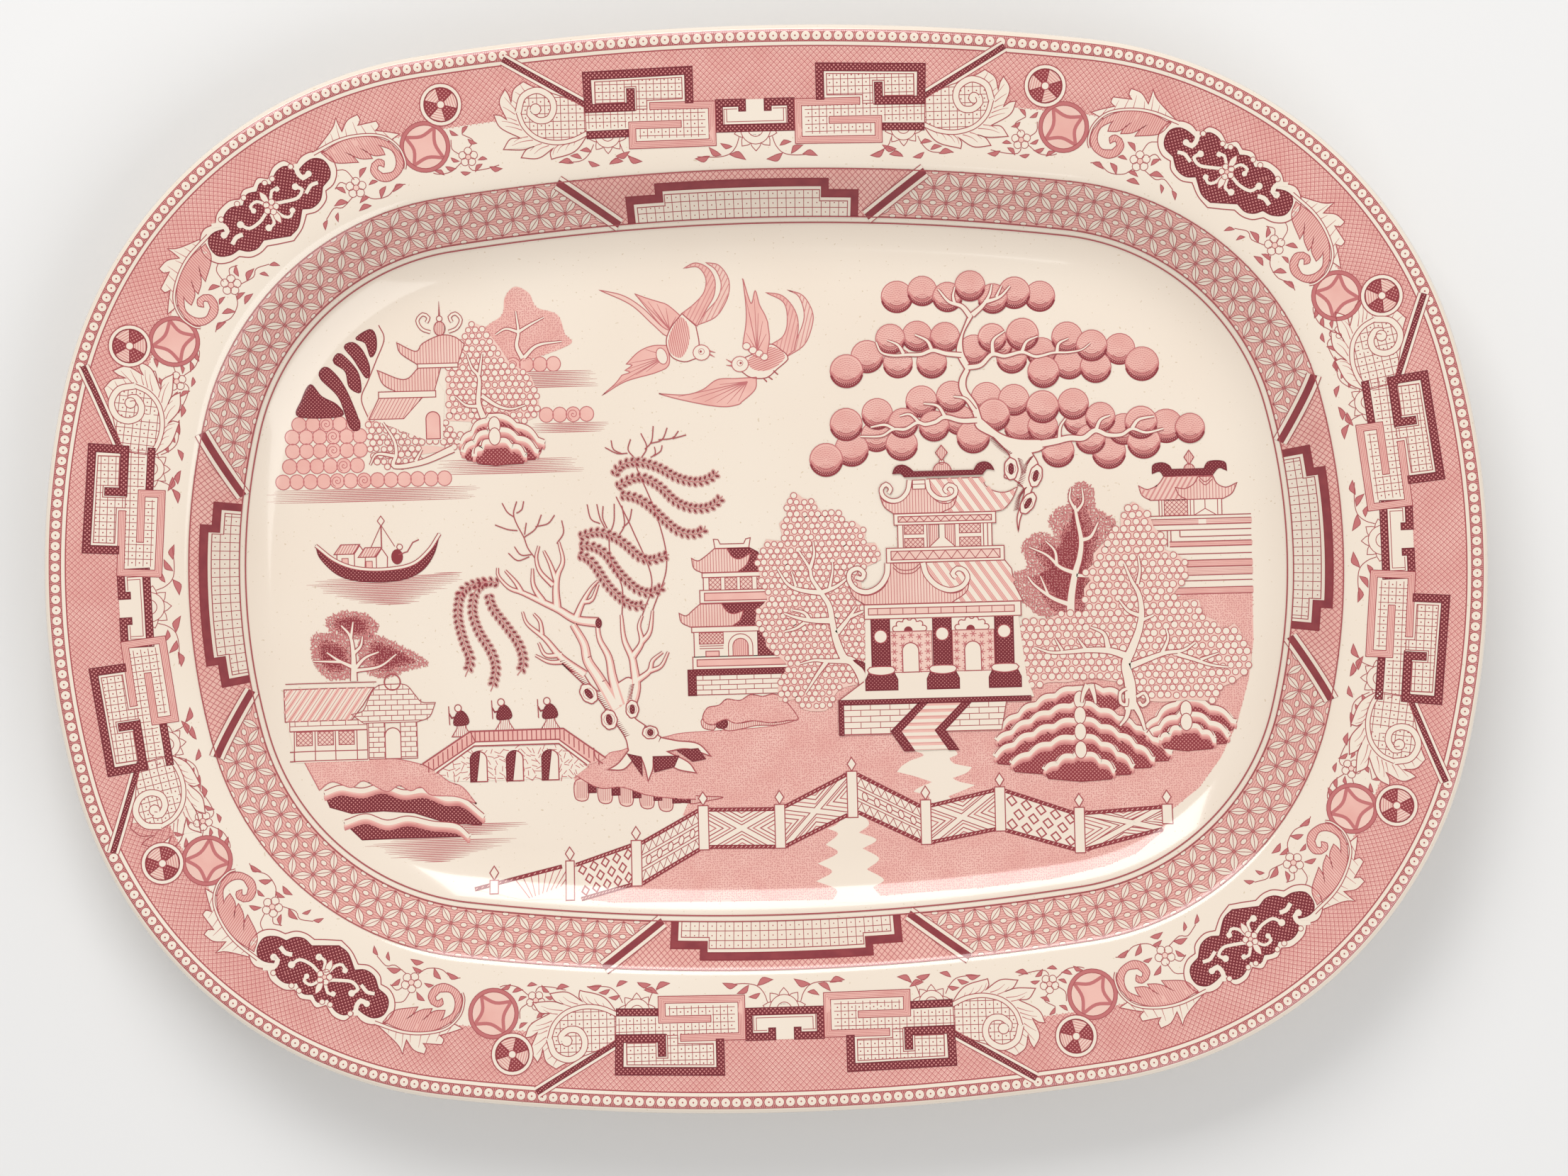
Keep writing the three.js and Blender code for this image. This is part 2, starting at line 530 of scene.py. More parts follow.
def mottled(name, light, dark, patch, speck=None):
    """A glazed surface whose colour drifts in soft patches, with fine specks if asked for."""
    material = glazed(name, light)
    tree = material.node_tree
    shader = tree.nodes["Principled BSDF"]
    place = tree.nodes.new("ShaderNodeTexCoord")

    def noise(size, detail):
        node = tree.nodes.new("ShaderNodeTexNoise")
        node.inputs["Scale"].default_value = 1 / (size * MM)
        node.inputs["Detail"].default_value = detail
        tree.links.new(place.outputs["Object"], node.inputs["Vector"])
        return node.outputs["Fac"]

    def blend(fac, low, high, first, second):
        ramp = tree.nodes.new("ShaderNodeMapRange")
        ramp.inputs["From Min"].default_value = low
        ramp.inputs["From Max"].default_value = high
        tree.links.new(fac, ramp.inputs["Value"])
        mix = tree.nodes.new("ShaderNodeMix")
        mix.data_type = "RGBA"
        tree.links.new(ramp.outputs["Result"], mix.inputs["Factor"])
        for value, socket in ((first, mix.inputs["A"]), (second, mix.inputs["B"])):
            if isinstance(value, tuple):
                socket.default_value = value
            else:
                tree.links.new(value, socket)
        return next(o for o in mix.outputs if o.type == "RGBA")

    shade = blend(noise(patch, 2.0), 0.35, 0.7, colour(*light), colour(*dark))
    if speck:
        shade = blend(noise(0.7, 0.0), 0.80, 0.84, shade, colour(*speck))
    tree.links.new(shade, shader.inputs["Base Color"])
    return material


INKS = {
    "deep": glazed("ink_deep", (118, 26, 38)),
    "dark": glazed("ink_dark", (142, 46, 54)),
    "line": glazed("ink_line", (171, 78, 82)),
    "mid": glazed("ink_mid", (196, 112, 112)),
    "soft": glazed("ink_soft", (214, 145, 140)),
    "pale": mottled("ink_pale", (240, 190, 178), (233, 174, 163), 9),
    "blush": mottled("ink_blush", (241, 206, 192), (236, 194, 180), 12),
    "tint": mottled("ink_tint", (228, 163, 155), (220, 150, 143), 6),
    "rose": mottled("ink_rose", (214, 142, 136), (203, 124, 122), 6),
    "wine": mottled("ink_wine", (150, 58, 64), (134, 44, 54), 4),
    "ivory": mottled("glaze_reserve", IVORY, IVORY_WARM, 60),
}
PIECE_OF = {"pale": "tone", "blush": "tone", "tint": "tone", "rose": "tone", "wine": "shade",
            "ivory": "reserve"}


# ------------------------------------------------------------------ the fired clay body
def ring_of(inset, height, count):
    lip, _, inward = lip_frame(np.arange(count) * PERIMETER / count)
    return np.concatenate([lip + inward * inset, np.full((count, 1), height)], 1)


RING_COUNT = 528
SECTION_SAG, SECTION_STEP = 0.003, 6.0  # what a stretch of the section may miss, and its length


def thinned(section):
    """The same section with the fewest points that stay within the limits above."""
    kept = [0]
    while kept[-1] < len(section) - 1:
        start = kept[-1]
        stop = start + 1
        while stop + 1 < len(section):
            chord = section[stop + 1] - section[start]
            skipped = section[start + 1:stop + 1] - section[start]
            length = math.hypot(*chord)
            missed = np.abs(chord[0] * skipped[:, 1] - chord[1] * skipped[:, 0]) / length
            if length > SECTION_STEP or missed.max() > SECTION_SAG:
                break
            stop += 1
        kept.append(stop)
    return section[kept]


def make_body():
    """The platter as one closed skin: both sections swept round the oval, with flat middles."""
    count = RING_COUNT
    top, top_at = spline(TOP_SECTION)
    under, under_at = spline(UNDER_SECTION)
    steps = np.concatenate([np.arange(top_at[0], top_at[-3], 0.6), top_at[-3:-2]])
    section = [p for p in top(steps)][::-1]
    section += [p for p in under(np.arange(0, under_at[-1], 0.5))] + [under([under_at[-1]])[0]]
    section = np.array(section)
    section[:, 1] = np.clip(section[:, 1], 0, RIM_HEIGHT)
    section[:, 0] = np.maximum(section[:, 0], 0)
    section = thinned(section)
    rings = [ring_of(inset, height, count) for inset, height in section]
    points = np.concatenate(rings)
    faces = []
    i = np.arange(count)
    j = (i + 1) % count
    for k in range(len(rings) - 1):
        a, b = k * count, (k + 1) * count
        faces += [np.stack([a + i, b + i, b + j], 1), np.stack([a + i, b + j, a + j], 1)]
    middles = np.array([[0, 0, WELL_FLOOR], [0, 0, BASE_RECESS]])
    points = np.concatenate([points, middles])
    last = (len(rings) - 1) * count
    faces.append(np.stack([i, j, np.full(count, len(points) - 2)], 1))
    faces.append(np.stack([last + j, last + i, np.full(count, len(points) - 1)], 1))
    faces = np.concatenate(faces)
    a, b, c = (points[faces[:, k]] for k in range(3))
    flat = np.cross(b - a, c - a)
    normals = np.zeros_like(points)
    for k in range(3):
        np.add.at(normals, faces[:, k], flat)
    volume = np.einsum("ij,ij->i", np.cross(a, b), c).sum()
    if volume < 0:
        faces, normals = faces[:, ::-1], -normals
    normals /= np.maximum(np.linalg.norm(normals, axis=1), 1e-12)[:, None]
    body = finish_mesh("platter_glaze", points, faces, normals, [GLAZE])
    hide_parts("platter_body")


GLAZE = mottled("glaze", IVORY, IVORY_WARM, 60, speck=(222, 204, 180))


# ------------------------------------------------------------------ motifs that repeat
def carried(home, there, flip=1):
    """Places plan points drawn near lip station `home` in the same way near station `there`."""
    start, along, inward = (v[0] for v in lip_frame([home]))
    stop, new_along, new_inward = (v[0] for v in lip_frame([there]))

    def place(points):
        arm = points - start
        return stop + flip * np.outer(arm @ along, new_along) + np.outer(arm @ inward, new_inward)

    return place


def pieced(*curves):
    """One outline from several smooth curves that meet at sharp corners."""
    return np.concatenate([smooth(c)[:-1] for c in curves])


def box(x0, y0, x1, y1):
    return [(x0, y0), (x1, y0), (x1, y1), (x0, y1)]


def bar_outline(points, width):
    left, right = ribbon(np.asarray(points, float), np.full(len(points), width))
    return np.concatenate([left, right[::-1]])


def crossed(pen, outline, pitch=0.85, width=0.42, ink="deep", turn=45):
    """Close dark cross-hatching, with light specks between its lines."""
    pen.area(outline, "rose")
    pen.up(1).hatch(outline, turn, pitch, width, ink)
    pen.up(1.5).hatch(outline, turn + 90, pitch, width, ink)
    pen.up(2).line(outline, 0.3, ink, closed=True)


def gridded(pen, outline, pitch=2.05, dot=0.24, edge=0.25):
    """An ivory panel ruled into squares, each with a dot."""
    outline = np.asarray(outline, float)
    pen.area(outline, "ivory")
    pen.up(1).hatch(outline, 0, pitch, 0.2, "line")
    pen.up(1).hatch(outline, 90, pitch, 0.2, "line")
    low, high = outline.min(0), outline.max(0)
    x, y = np.meshgrid(*(np.arange(a, b, pitch) for a, b in zip(np.floor(low / pitch) * pitch, high)))
    spots = np.stack([x.ravel(), y.ravel()], -1) + pitch / 2
    for spot in spots[inside(spots, outline)]:
        pen.up(1).disc(spot, dot, "line", 5)
    if edge:
        pen.up(2).line(outline, edge, "line", closed=True)


def sprig(pen, base, tip, fat=0.19, bend=0.14, fill="mid", ink="line"):
    """A small pointed leaf with a curved stalk end."""
    base, tip = np.array(base, float), np.array(tip, float)
    run = tip - base
    side = np.array([-run[1], run[0]])
    back = [base, base + run * 0.45 + side * (bend + fat), tip]
    front = [tip, base + run * 0.35 + side * (bend - fat), base]
    pen.form(pieced(back, front), fill, 0.2, ink, curved=False)


def blossom(pen, centre, radius, petals=5, turn=90.0, fill="ivory"):
    """A round-petalled flower with a hub."""
    for k in range(petals):
        at = polar(centre, radius * 0.62, turn + 360 / petals * k)
        pen.form(oval(at, radius * 0.42, radius * 0.42, 0, 12), fill, 0.2, curved=False)
    pen.up(2).form(oval(centre, radius * 0.3, radius * 0.3, 0, 10), "blush", 0.2, curved=False)


def petal(pen, centre, degrees, near, far, half, fill="ivory", ink="line"):
    """A pointed petal standing out from a centre."""
    base, tip, middle = (polar(centre, r, degrees) for r in (near, far, near * 0.45 + far * 0.55))
    side = polar((0, 0), half, degrees + 90)
    outline = pieced([base + side * 0.5, middle + side, tip], [tip, middle - side, base - side * 0.5])
    pen.form(outline, fill, 0.22, ink, curved=False)


def scroll(pen, points, width, ball=0.0, fill="ivory", edge="line", to=None):
    """A light band with dark edges that may end in a ball."""
    points = smooth(points)
    if edge:
        pen.line(points, width + 0.5, edge, to=None if to is None else to + 0.5)
    pen.up(1).line(points, width, fill, to=to)
    if ball:
        pen.disc(points[-1], ball + (0.25 if edge else 0), edge or fill, 12)
        pen.up(1).disc(points[-1], ball, fill, 12)


# ------------------------------------------------------------------ border: ornaments
# These are drawn where they stand along the top and at the top right of the platter.
TOP_CENTRE, CORNER = 0.4, 149.5
CENTRES = (0.4, 291.5, 589.9, 881.2)
CORNERS = (149.5, 440.4, 734.3, 1028.5)


def draw_half_lotus(pen, centre, radius):
    for degrees in (-168, -12, -130, -50, -90):
        petal(pen, centre, degrees, radius * 0.5, radius * 1.45, radius * 0.32)
    for reach in (1.0, 0.5):
        pen.up(2).form(arc(centre, radius * reach, -180, 0), "ivory", 0.22, curved=False)


def draw_bracket(pen):
    """The square bracket at the middle of each side, with half a lotus hanging from it."""
    c = TOP_CENTRE
    draw_half_lotus(pen, (c, 124.2), 4.2)
    for way in (-1, 1):
        def sided(points, way=way):
            return [(c + way * x, y) for x, y in points]
        pen.curve(sided([(4.7, 122), (5.6, 119.5), (7.6, 117.4), (11, 116.7), (16.6, 116.9)]), 0.22)
        for base, tip in (((6.8, 119.5), (9.9, 120.4)), ((9.9, 117.2), (13.2, 119.4)),
                          ((13.2, 117), (17.2, 116.4)), ((7.4, 117.3), (3, 115.8))):
            sprig(pen, *sided([base, tip]))
    pen.up(2).area(box(c - 11, 123.5, c + 11, 132.4), "ivory")
    bars = [(c - 3.6, 129.2), (c - 3.6, 131.5), (c - 10.1, 131.5), (c - 10.1, 124.5),
            (c + 10.1, 124.5), (c + 10.1, 131.5), (c + 3.6, 131.5), (c + 3.6, 129.2)]
    crossed(pen.up(3), bar_outline(bars, 1.9))
    for inset in (0, 0.75):
        pen.up(3).line([(c - 5, 129.8), (c - 8 - inset, 129.8), (c - 8 - inset, 126.3 - inset),
                        (c + 8 + inset, 126.3 - inset), (c + 8 + inset, 129.8), (c + 5, 129.8)], 0.22)


def draw_fret(pen):
    """Two interlocking keys, one dark and one pale, over dotted squares."""
    draw_half_lotus(pen, (42, 123.6), 3.6)
    for stem in ([(38.6, 121), (37.6, 118.6), (35.6, 117.3), (32.6, 116)],
                 [(46, 121), (47.4, 118.4), (50, 116.5), (56, 116.2)],
                 [(37.5, 118), (41, 116.4), (41.6, 115.4)]):
        pen.curve(stem, 0.22)
    for base, tip in (((39.8, 117.6), (36, 118.8)), ((36.4, 117.4), (32.6, 116)),
                      ((38, 116.2), (41.7, 115.5)),
                      ((46.8, 119), (49.8, 119.4)), ((49.6, 117.2), (52.6, 118)),
                      ((47.6, 116.4), (44.6, 115.2)),
                      ((52, 116), (55.8, 116.3))):
        sprig(pen, base, tip)
    pen = pen.up(3)
    for plate in (box(18, 130, 48.4, 141), box(11.6, 119.9, 36.2, 132.2), box(35, 122.8, 48.2, 131)):
        pen.area(plate, "ivory")
    pen = pen.up(1)
    gridded(pen, [(20.7, 138.9), (45.2, 138.2), (45.2, 132.3), (36.9, 132.4), (36.9, 136.6),
                  (33.6, 136.7), (33.6, 130.4), (30.7, 130.4), (30.7, 132.8), (20.7, 133)])
    gridded(pen, [(14.4, 130.4), (48.6, 130.2), (48.4, 125.3), (36.6, 125.4), (36.6, 127.2), (20.8, 127.2),
                  (20.8, 124.9), (33.2, 124.9), (33.2, 122.3), (14.4, 122.4)], edge=0)
    pale = [(29.9, 131.2), (12.5, 131.2), (12.5, 120.8), (35, 120.5), (35, 126), (21.2, 126.1)]
    pen.up(3).area(bar_outline(pale, 1.9), "pale")
    pen.up(4).line(bar_outline(pale, 1.9), 0.25, closed=True)
    for shift in (-0.45, 0, 0.45):
        left, _ = ribbon(np.array(pale, float), np.full(6, 2 * shift + 0.001))
        pen.up(4).line(left, 0.13, "mid")
    dark = [(18.8, 131.9), (18.8, 140.8), (47.4, 139.9), (47.1, 130.9), (35.2, 131.1), (35.2, 136.1)]
    crossed(pen.up(5), bar_outline(dark, 2.1))
    crossed(pen.up(5), bar_outline([(36.2, 123.9), (47.8, 123.6)], 1.9))


def draw_horn(pen):
    """A diagonal bar, and a dotted horn that ends in a scroll with a leaf wrapped round it."""
    slant = [(47.6, 131.7), (70.6, 145)]
    pen.line(slant, 3.5, "line")
    pen.up(1).line(slant, 3.0, "ivory")
    crossed(pen.up(2), bar_outline(slant, 1.3), 0.7, 0.36)
    leaf = pieced(
        [(60, 136.6), (62.6, 137.4), (65.2, 138.8)], [(65.2, 138.8), (68, 136.6), (68.8, 133)],
        [(68.8, 133), (69.4, 135.2), (70.4, 136.8)], [(70.4, 136.8), (72.1, 133.2), (70.2, 128.4)],
        [(70.2, 128.4), (72, 129.6), (73.8, 129.8)], [(73.8, 129.8), (72, 126.2), (66.4, 123.2)],
        [(66.4, 123.2), (69.4, 123), (71.4, 120.2)], [(71.4, 120.2), (66, 120), (62.4, 121)],
        [(62.4, 121), (65, 120), (66.5, 117.8)], [(66.5, 117.8), (61.6, 117.6), (57.2, 120.4)],
        [(57.2, 120.4), (58.3, 119), (58, 117.2)], [(58, 117.2), (51.4, 119.2), (47.4, 124)],
        [(47.4, 124), (54, 123), (60, 124)], [(60, 124), (65, 128), (64, 134)],
        [(64, 134), (62, 135.4), (60, 136.6)],
    )
    pen.up(3).form(leaf, "ivory", 0.28, curved=False)
    for base, tip in (((64.6, 135.8), (66, 138)), ((65.6, 134.6), (67.6, 136)),
                      ((66.8, 132.4), (68.6, 133.8)),
                      ((67.6, 131.2), (70.6, 134.6)), ((67.8, 129.8), (71.2, 132)),
                      ((67.4, 128), (70.8, 129)),
                      ((66.8, 126.8), (71.6, 128)), ((66, 125.4), (70.6, 126.6)),
                      ((64.4, 123.6), (68.4, 122.2)),
                      ((63, 122.6), (69, 121.2)), ((60.6, 121.6), (64, 119.6)),
                      ((58.6, 121), (62.8, 118.8)),
                      ((56, 121), (57.6, 118.4)), ((53.8, 121.4), (56.4, 118.9)),
                      ((51.6, 122), (54, 119.6)),
                      ((50, 122.6), (51.6, 120.8))):
        middle = (np.array(base) + tip) / 2 + [0.3, 0.3]
        pen.up(5).curve([base, middle, tip], 0.26, "mid", to=0.08)
    horn = smooth([(48.2, 131.2), (52, 133.4), (57.4, 135.4), (62, 136.2), (66, 133.6), (67, 130),
                   (65.6, 126.4),
                   (62, 123.6), (56, 122.2), (50, 123.4), (48, 125)])
    gridded(pen.up(5), horn, 2.2)
    for points, width in (([(47.6, 124.2), (52, 122.3), (57, 121.8), (62, 123.2), (65.4, 126.4),
                            (66.9, 130.4)], 1.0),
                          ([(66.9, 130.4), (65.4, 134.6), (61.4, 136.3), (57.8, 134.4), (56.9, 131.2),
                            (58.4, 128.4),
                            (61.4, 128), (63.6, 129.8), (63.2, 131.6)], 1.5)):
        scroll(pen.up(8), points, width)
    pen.up(8).form(oval((62, 131.1), 1.5, 1.5), "ivory", 0.25, curved=False)


def draw_wheel(pen):
    centre = (82, 133.8)
    pen.form(oval(centre, 5.9, 5.9, 0, 28), "ivory", 0.3, curved=False)
    for k in range(6):
        middle = 105 - 60 * k
        sector = np.concatenate([arc(centre, 4.6, middle - 30, middle + 30), [centre]])
        if k % 2:
            pen.up(2).area(sector, "blush")
            pen.up(3).hatch(sector, middle + 90, 0.7, 0.15, "mid")
        else:
            crossed(pen.up(2), sector, 0.8, 0.4, "dark")
    pen.up(5).ring(centre, 4.7, 0.35, "dark", 28)
    pen.up(5).form(oval(centre, 1.1, 1.1), "ivory", 0.3, curved=False)


def draw_coin(pen):
    """A coin: a thick ring round a square with hollow sides."""
    centre = (87, 122.3)
    pen.area(oval(centre, 6.9, 6.9, 0, 28), "blush")
    corners = [polar(centre, 6.0, a) for a in (118, 27, -57, -148)]
    sides = []
    for a, b in zip(corners, corners[1:] + corners[:1]):
        middle = (a + b) / 2
        sides.append(smooth([a, middle + (np.array(centre) - middle) * 0.28, b], step=1))
    pen.up(1).area(np.concatenate([s[:-1] for s in sides]), "pale")
    for side in sides:
        pen.up(2).line(side, 0.95, "mid", swell=False)
    pen.up(3).ring(centre, 6.6, 1.05, "mid", 32)
    for radius in (7.05, 6.0):
        pen.up(4).ring(centre, radius, 0.2, "line", 32)


def draw_acanthus(pen):
    """A leaf that curls back in a spiral between the coin and the corner cartouche."""
    crest = pieced(
        [(94.8, 126.2), (98, 127), (101.4, 127.6)], [(101.4, 127.6), (100.3, 128.8), (101, 130.2)],
        [(101, 130.2), (103.6, 129.8), (106.2, 129.4)], [(106.2, 129.4), (105.4, 130.8), (106.1, 132.4)],
        [(106.1, 132.4), (109, 131), (110.8, 128)], [(110.8, 128), (111.6, 130), (112.2, 131.9)],
        [(112.2, 131.9), (113.6, 128.8), (119.2, 122.6)], [(119.2, 122.6), (107, 124), (97, 124.4)],
    )
    pen.form(crest, "ivory", 0.28, curved=False)
    for base, tip in (((98, 125.6), (100.6, 128.6)), ((101, 126.4), (102.6, 129.2)),
                      ((104, 126.8), (106, 130.6)),
                      ((106.6, 127), (107.6, 130.4)), ((109.6, 126.6), (109.8, 128.8)),
                      ((111.6, 126), (112.3, 130)),
                      ((113.4, 125.2), (114, 127.6)), ((115.4, 124.2), (115.8, 125.8))):
        pen.up(2).line([base, tip], 0.22, "mid", to=0.08)
    blade = pieced(
        [(95.4, 121.4), (98.4, 124.4), (104, 126.2), (111, 125.4), (117, 122.4)],
        [(117, 122.4), (113.6, 119.6), (107, 119.2)], [(107, 119.2), (108.4, 121), (110.4, 122.2)],
        [(110.4, 122.2), (106.4, 120.2), (103, 120)], [(103, 120), (104, 121.6), (106, 123)],
        [(106, 123), (102.6, 120.8), (99.4, 120.8)], [(99.4, 120.8), (100, 122.4), (101, 123.6)],
        [(101, 123.6), (97.4, 121.8), (96.4, 118.6), (97.6, 116), (100.4, 115.6)],
        [(100.4, 115.6), (101.8, 116.8), (101.4, 118), (100, 117.4)],
        [(100, 117.4), (99.8, 119), (101.4, 119.7), (103.2, 118.6)],
        [(103.2, 118.6), (103.8, 116.4), (102, 114), (98.8, 113.4), (95.4, 115.6), (94.4, 118.6),
         (95.4, 121.4)],
    )
    pen.up(3).form(blade, "pale", 0.25, curved=False)
    pen.up(4).hatch(blade, 62, 0.62, 0.17, "mid")
    rim = [(119.4, 122.4), (112, 125.6), (105.6, 126.6), (99.4, 125.8), (95.4, 122.6), (93.9, 118.6),
           (94.2, 116.4)]
    scroll(pen.up(5), rim, 0.7, to=0.3)


def draw_flowers(pen_near, pen_far):
    """The two small flowers with their vines, one on each side of the acanthus."""
    for stem in ([(75, 116.8), (74, 115.4), (70.4, 115.6), (66.4, 116.6)],
                 [(77.2, 119.8), (79.4, 121.4), (79.6, 124)],
                 [(75, 121.2), (73.4, 123.6), (76.4, 125.4)],
                 [(77, 117.6), (80, 115.2), (83.4, 114.6), (85, 115)]):
        pen_near.curve(stem, 0.22)
    blossom(pen_near, (75, 119.1), 2.6)
    for base, tip in (((74.8, 127.6), (76.4, 125.6)), ((79.8, 126.6), (77.6, 125.2)),
                      ((74.8, 124), (72.4, 122.8)),
                      ((69.8, 118.4), (72.2, 118.2)), ((79.8, 119), (77.6, 118)),
                      ((71.2, 117), (73.2, 115)),
                      ((69, 116.2), (65.6, 115.6)), ((81.4, 116.6), (78.6, 116)),
                      ((77.2, 115), (74.6, 114.8)),
                      ((82, 114.4), (84.6, 115.6))):
        sprig(pen_near, base, tip)
    for stem in ([(106.4, 110.2), (103.6, 108.8), (99.6, 109.4), (96.8, 112), (94.4, 112.2)],
                 [(110.6, 113.2), (112.6, 114), (114.2, 112.2)],
                 [(108.6, 114.4), (110.8, 117.2), (113.4, 117.4)],
                 [(109.6, 109.6), (112.6, 107), (115, 107), (117.4, 104)]):
        pen_far.curve(stem, 0.22)
    blossom(pen_far, (108.3, 112.2), 2.8)
    for base, tip in (((105, 117.6), (107, 115)), ((102.2, 113.6), (104.6, 112.8)),
                      ((100, 112), (101.6, 108.8)),
                      ((95, 112.2), (98, 110.4)), ((105, 109.4), (107.6, 108)),
                      ((104.6, 107), (108, 105.8)),
                      ((111, 108.4), (114.8, 107.6)), ((111.4, 111), (114, 112.6)),
                      ((114, 105.6), (114.2, 103.2)),
                      ((117.2, 103.8), (118, 101.2))):
        sprig(pen_far, base, tip)


def draw_cartouche(pen):
    """The lobed dark cartouche at each corner, with an ivory flower and scrolls in it."""
    rim = pieced(
        [(124.9, 119), (122.8, 121.8), (119.6, 123), (116, 122.3), (113.7, 119.6), (113.4, 116.4),
         (114.6, 113.6), (116.8, 112)],
        [(116.8, 112), (117, 109.4), (119.6, 106.6), (122.8, 105.8)],
        [(122.8, 105.8), (124.4, 102), (127, 98.8)],
        [(127, 98.8), (131, 98.2), (134.5, 97.8)], [(134.5, 97.8), (136.6, 96), (139.4, 95), (142.5, 95.4)],
        [(142.5, 95.4), (145.4, 94), (149, 94), (152.2, 96.4), (153, 100.4), (151.6, 103.6),
         (148.4, 104.8)],
        [(148.4, 104.8), (147.4, 108), (144, 110.9), (141, 111.3)],
        [(141, 111.3), (139.8, 113.7), (136.9, 114.6)],
        [(136.9, 114.6), (135.4, 116.8), (132.6, 116.4)],
        [(132.6, 116.4), (130.8, 119.6), (127.6, 121.1), (124.9, 119)],
    )
    pen.form(rim, "ivory", 0.3, curved=False)
    heart = pieced(
        [(124.4, 117.6), (121.8, 120), (119.4, 121.1), (116.8, 120.5), (115.3, 118.2), (115.4, 115.6),
         (117.6, 113.2)],
        [(117.6, 113.2), (118.6, 109.6), (121, 107.6), (123.9, 107.4)],
        [(123.9, 107.4), (125.4, 102.6), (127.8, 100.2)],
        [(127.8, 100.2), (132, 99.8), (135.4, 99.5)],
        [(135.4, 99.5), (137.4, 97.3), (140, 96.7), (142.4, 97.4)],
        [(142.4, 97.4), (145, 96), (148.4, 96), (150.4, 98.4), (150.5, 101), (148.6, 102.6), (146, 103.2)],
        [(146, 103.2), (145.8, 106.6), (143.6, 109), (140.2, 109.4)],
        [(140.2, 109.4), (138.8, 112.4), (136, 113)],
        [(136, 113), (134.8, 115.3), (132, 114.6)],
        [(132, 114.6), (130, 118.2), (127.2, 119.5), (124.4, 117.6)],
    )
    crossed(pen.up(2), heart, 0.85, 0.46, "deep", 13)
    pen = pen.up(5)
    for points, width, ball in (
        ([(124.4, 120), (124.2, 117.6), (122.8, 116), (121.2, 117)], 1.3, 0.9),
        ([(118.8, 114.4), (120.8, 113.8), (122.4, 111.6)], 1.0, 0),
        ([(132, 109.4), (128.4, 109.8), (124.8, 110.6), (123.4, 112.8), (125.2, 113.7)], 0.9, 0.95),
        ([(131.4, 107.4), (129, 105.6), (127.2, 105.6), (126.6, 107.2)], 0.8, 0.8),
        ([(132.4, 110.6), (131.8, 113), (130.4, 113.4)], 0.8, 0.75),
        ([(134, 109.4), (136.4, 110.3), (138.2, 109), (137.4, 107.8)], 0.8, 0.75),
        ([(134, 107), (136, 104.6), (139, 103), (141.4, 104.2)], 0.9, 1.0),
        ([(132.6, 106.6), (132, 104), (133.6, 102.8)], 0.8, 0.95),
        ([(141, 101.4), (142.8, 100.8), (144.2, 98.9)], 1.2, 0),
        ([(149.4, 104.4), (146.4, 104.4), (145.2, 102.6), (146.2, 101.6)], 1.3, 0.95),
    ):
        scroll(pen, points, width, ball, edge=None)
    for spot in ((126, 119.3), (131.4, 116.3), (133.6, 115.3), (139.8, 111.6), (141.8, 110), (146.6, 106)):
        pen.form(oval(spot, 0.75, 0.75), "ivory", 0.2, curved=False)
    for degrees in (58, -118):
        petal(pen.up(1), (132.5, 108.5), degrees, 1.2, 5.4, 0.9)
    blossom(pen.up(2), (132.5, 108.5), 2.2, 5, 30)


def make_border():
    art = Artwork("print_border")
    for place, drawing in ((0.0, draw_bracket), (30.0, draw_fret), (57.0, draw_horn)):
        for centre in CENTRES:
            for way in (1,) if place == 0 else (1, -1):
                pen = Pen(art, carried(TOP_CENTRE + place, centre + way * place, way), 3)
                drawing(pen)
    for index, corner in enumerate(CORNERS):
        facing = 1 if index % 2 == 0 else -1
        draw_cartouche(Pen(art, carried(CORNER, corner, facing), 6))
        for way in (1, -1):
            def at(distance, way=way, corner=corner):
                return carried(CORNER - distance, corner - way * distance, way)
            draw_acanthus(Pen(art, at(41), 3))
            draw_coin(Pen(art, at(61), 4))
            draw_wheel(Pen(art, at(64), 9))
            draw_flowers(Pen(art, at(68), 3), Pen(art, at(32), 3))
    lay(art)


# ------------------------------------------------------------------ band on the well's wall
BAND_OUTER, BAND_INNER, BAND_MIDDLE = 39.8, 52.4, 46.0
LATTICE_STEP = 7.7
LIP_STEPS = np.linspace(0, PERIMETER, 2001)


def along_band():
    """Length along the middle of the band for each of LIP_STEPS along the lip."""
    middle = around(np.stack([LIP_STEPS, np.full_like(LIP_STEPS, BAND_MIDDLE)], 1))
    run = np.linalg.norm(np.diff(middle, axis=0), axis=1)
    return np.concatenate([[0], np.cumsum(run)])


BAND_RUN = along_band()
BAND_LENGTH = BAND_RUN[-1]
PANELS = (  # place of the panel's middle along the band, half length and half length of its step
    (-4.0, 32.0, 23.5), (BAND_LENGTH / 4 - 5, 25.4, 18.8),
    (BAND_LENGTH / 2 - 3, 32.0, 23.5), (BAND_LENGTH * 3 / 4 - 3, 25.4, 18.8),
)


def on_band(points):
    """Plan points of (length along the middle of the band, distance in from the lip)."""
    points = np.asarray(points, float)
    turns, run = np.divmod(points[:, 0], BAND_LENGTH)
    s = np.interp(run, BAND_RUN, LIP_STEPS) + turns * PERIMETER
    return around(np.stack([s, points[:, 1]], 1))


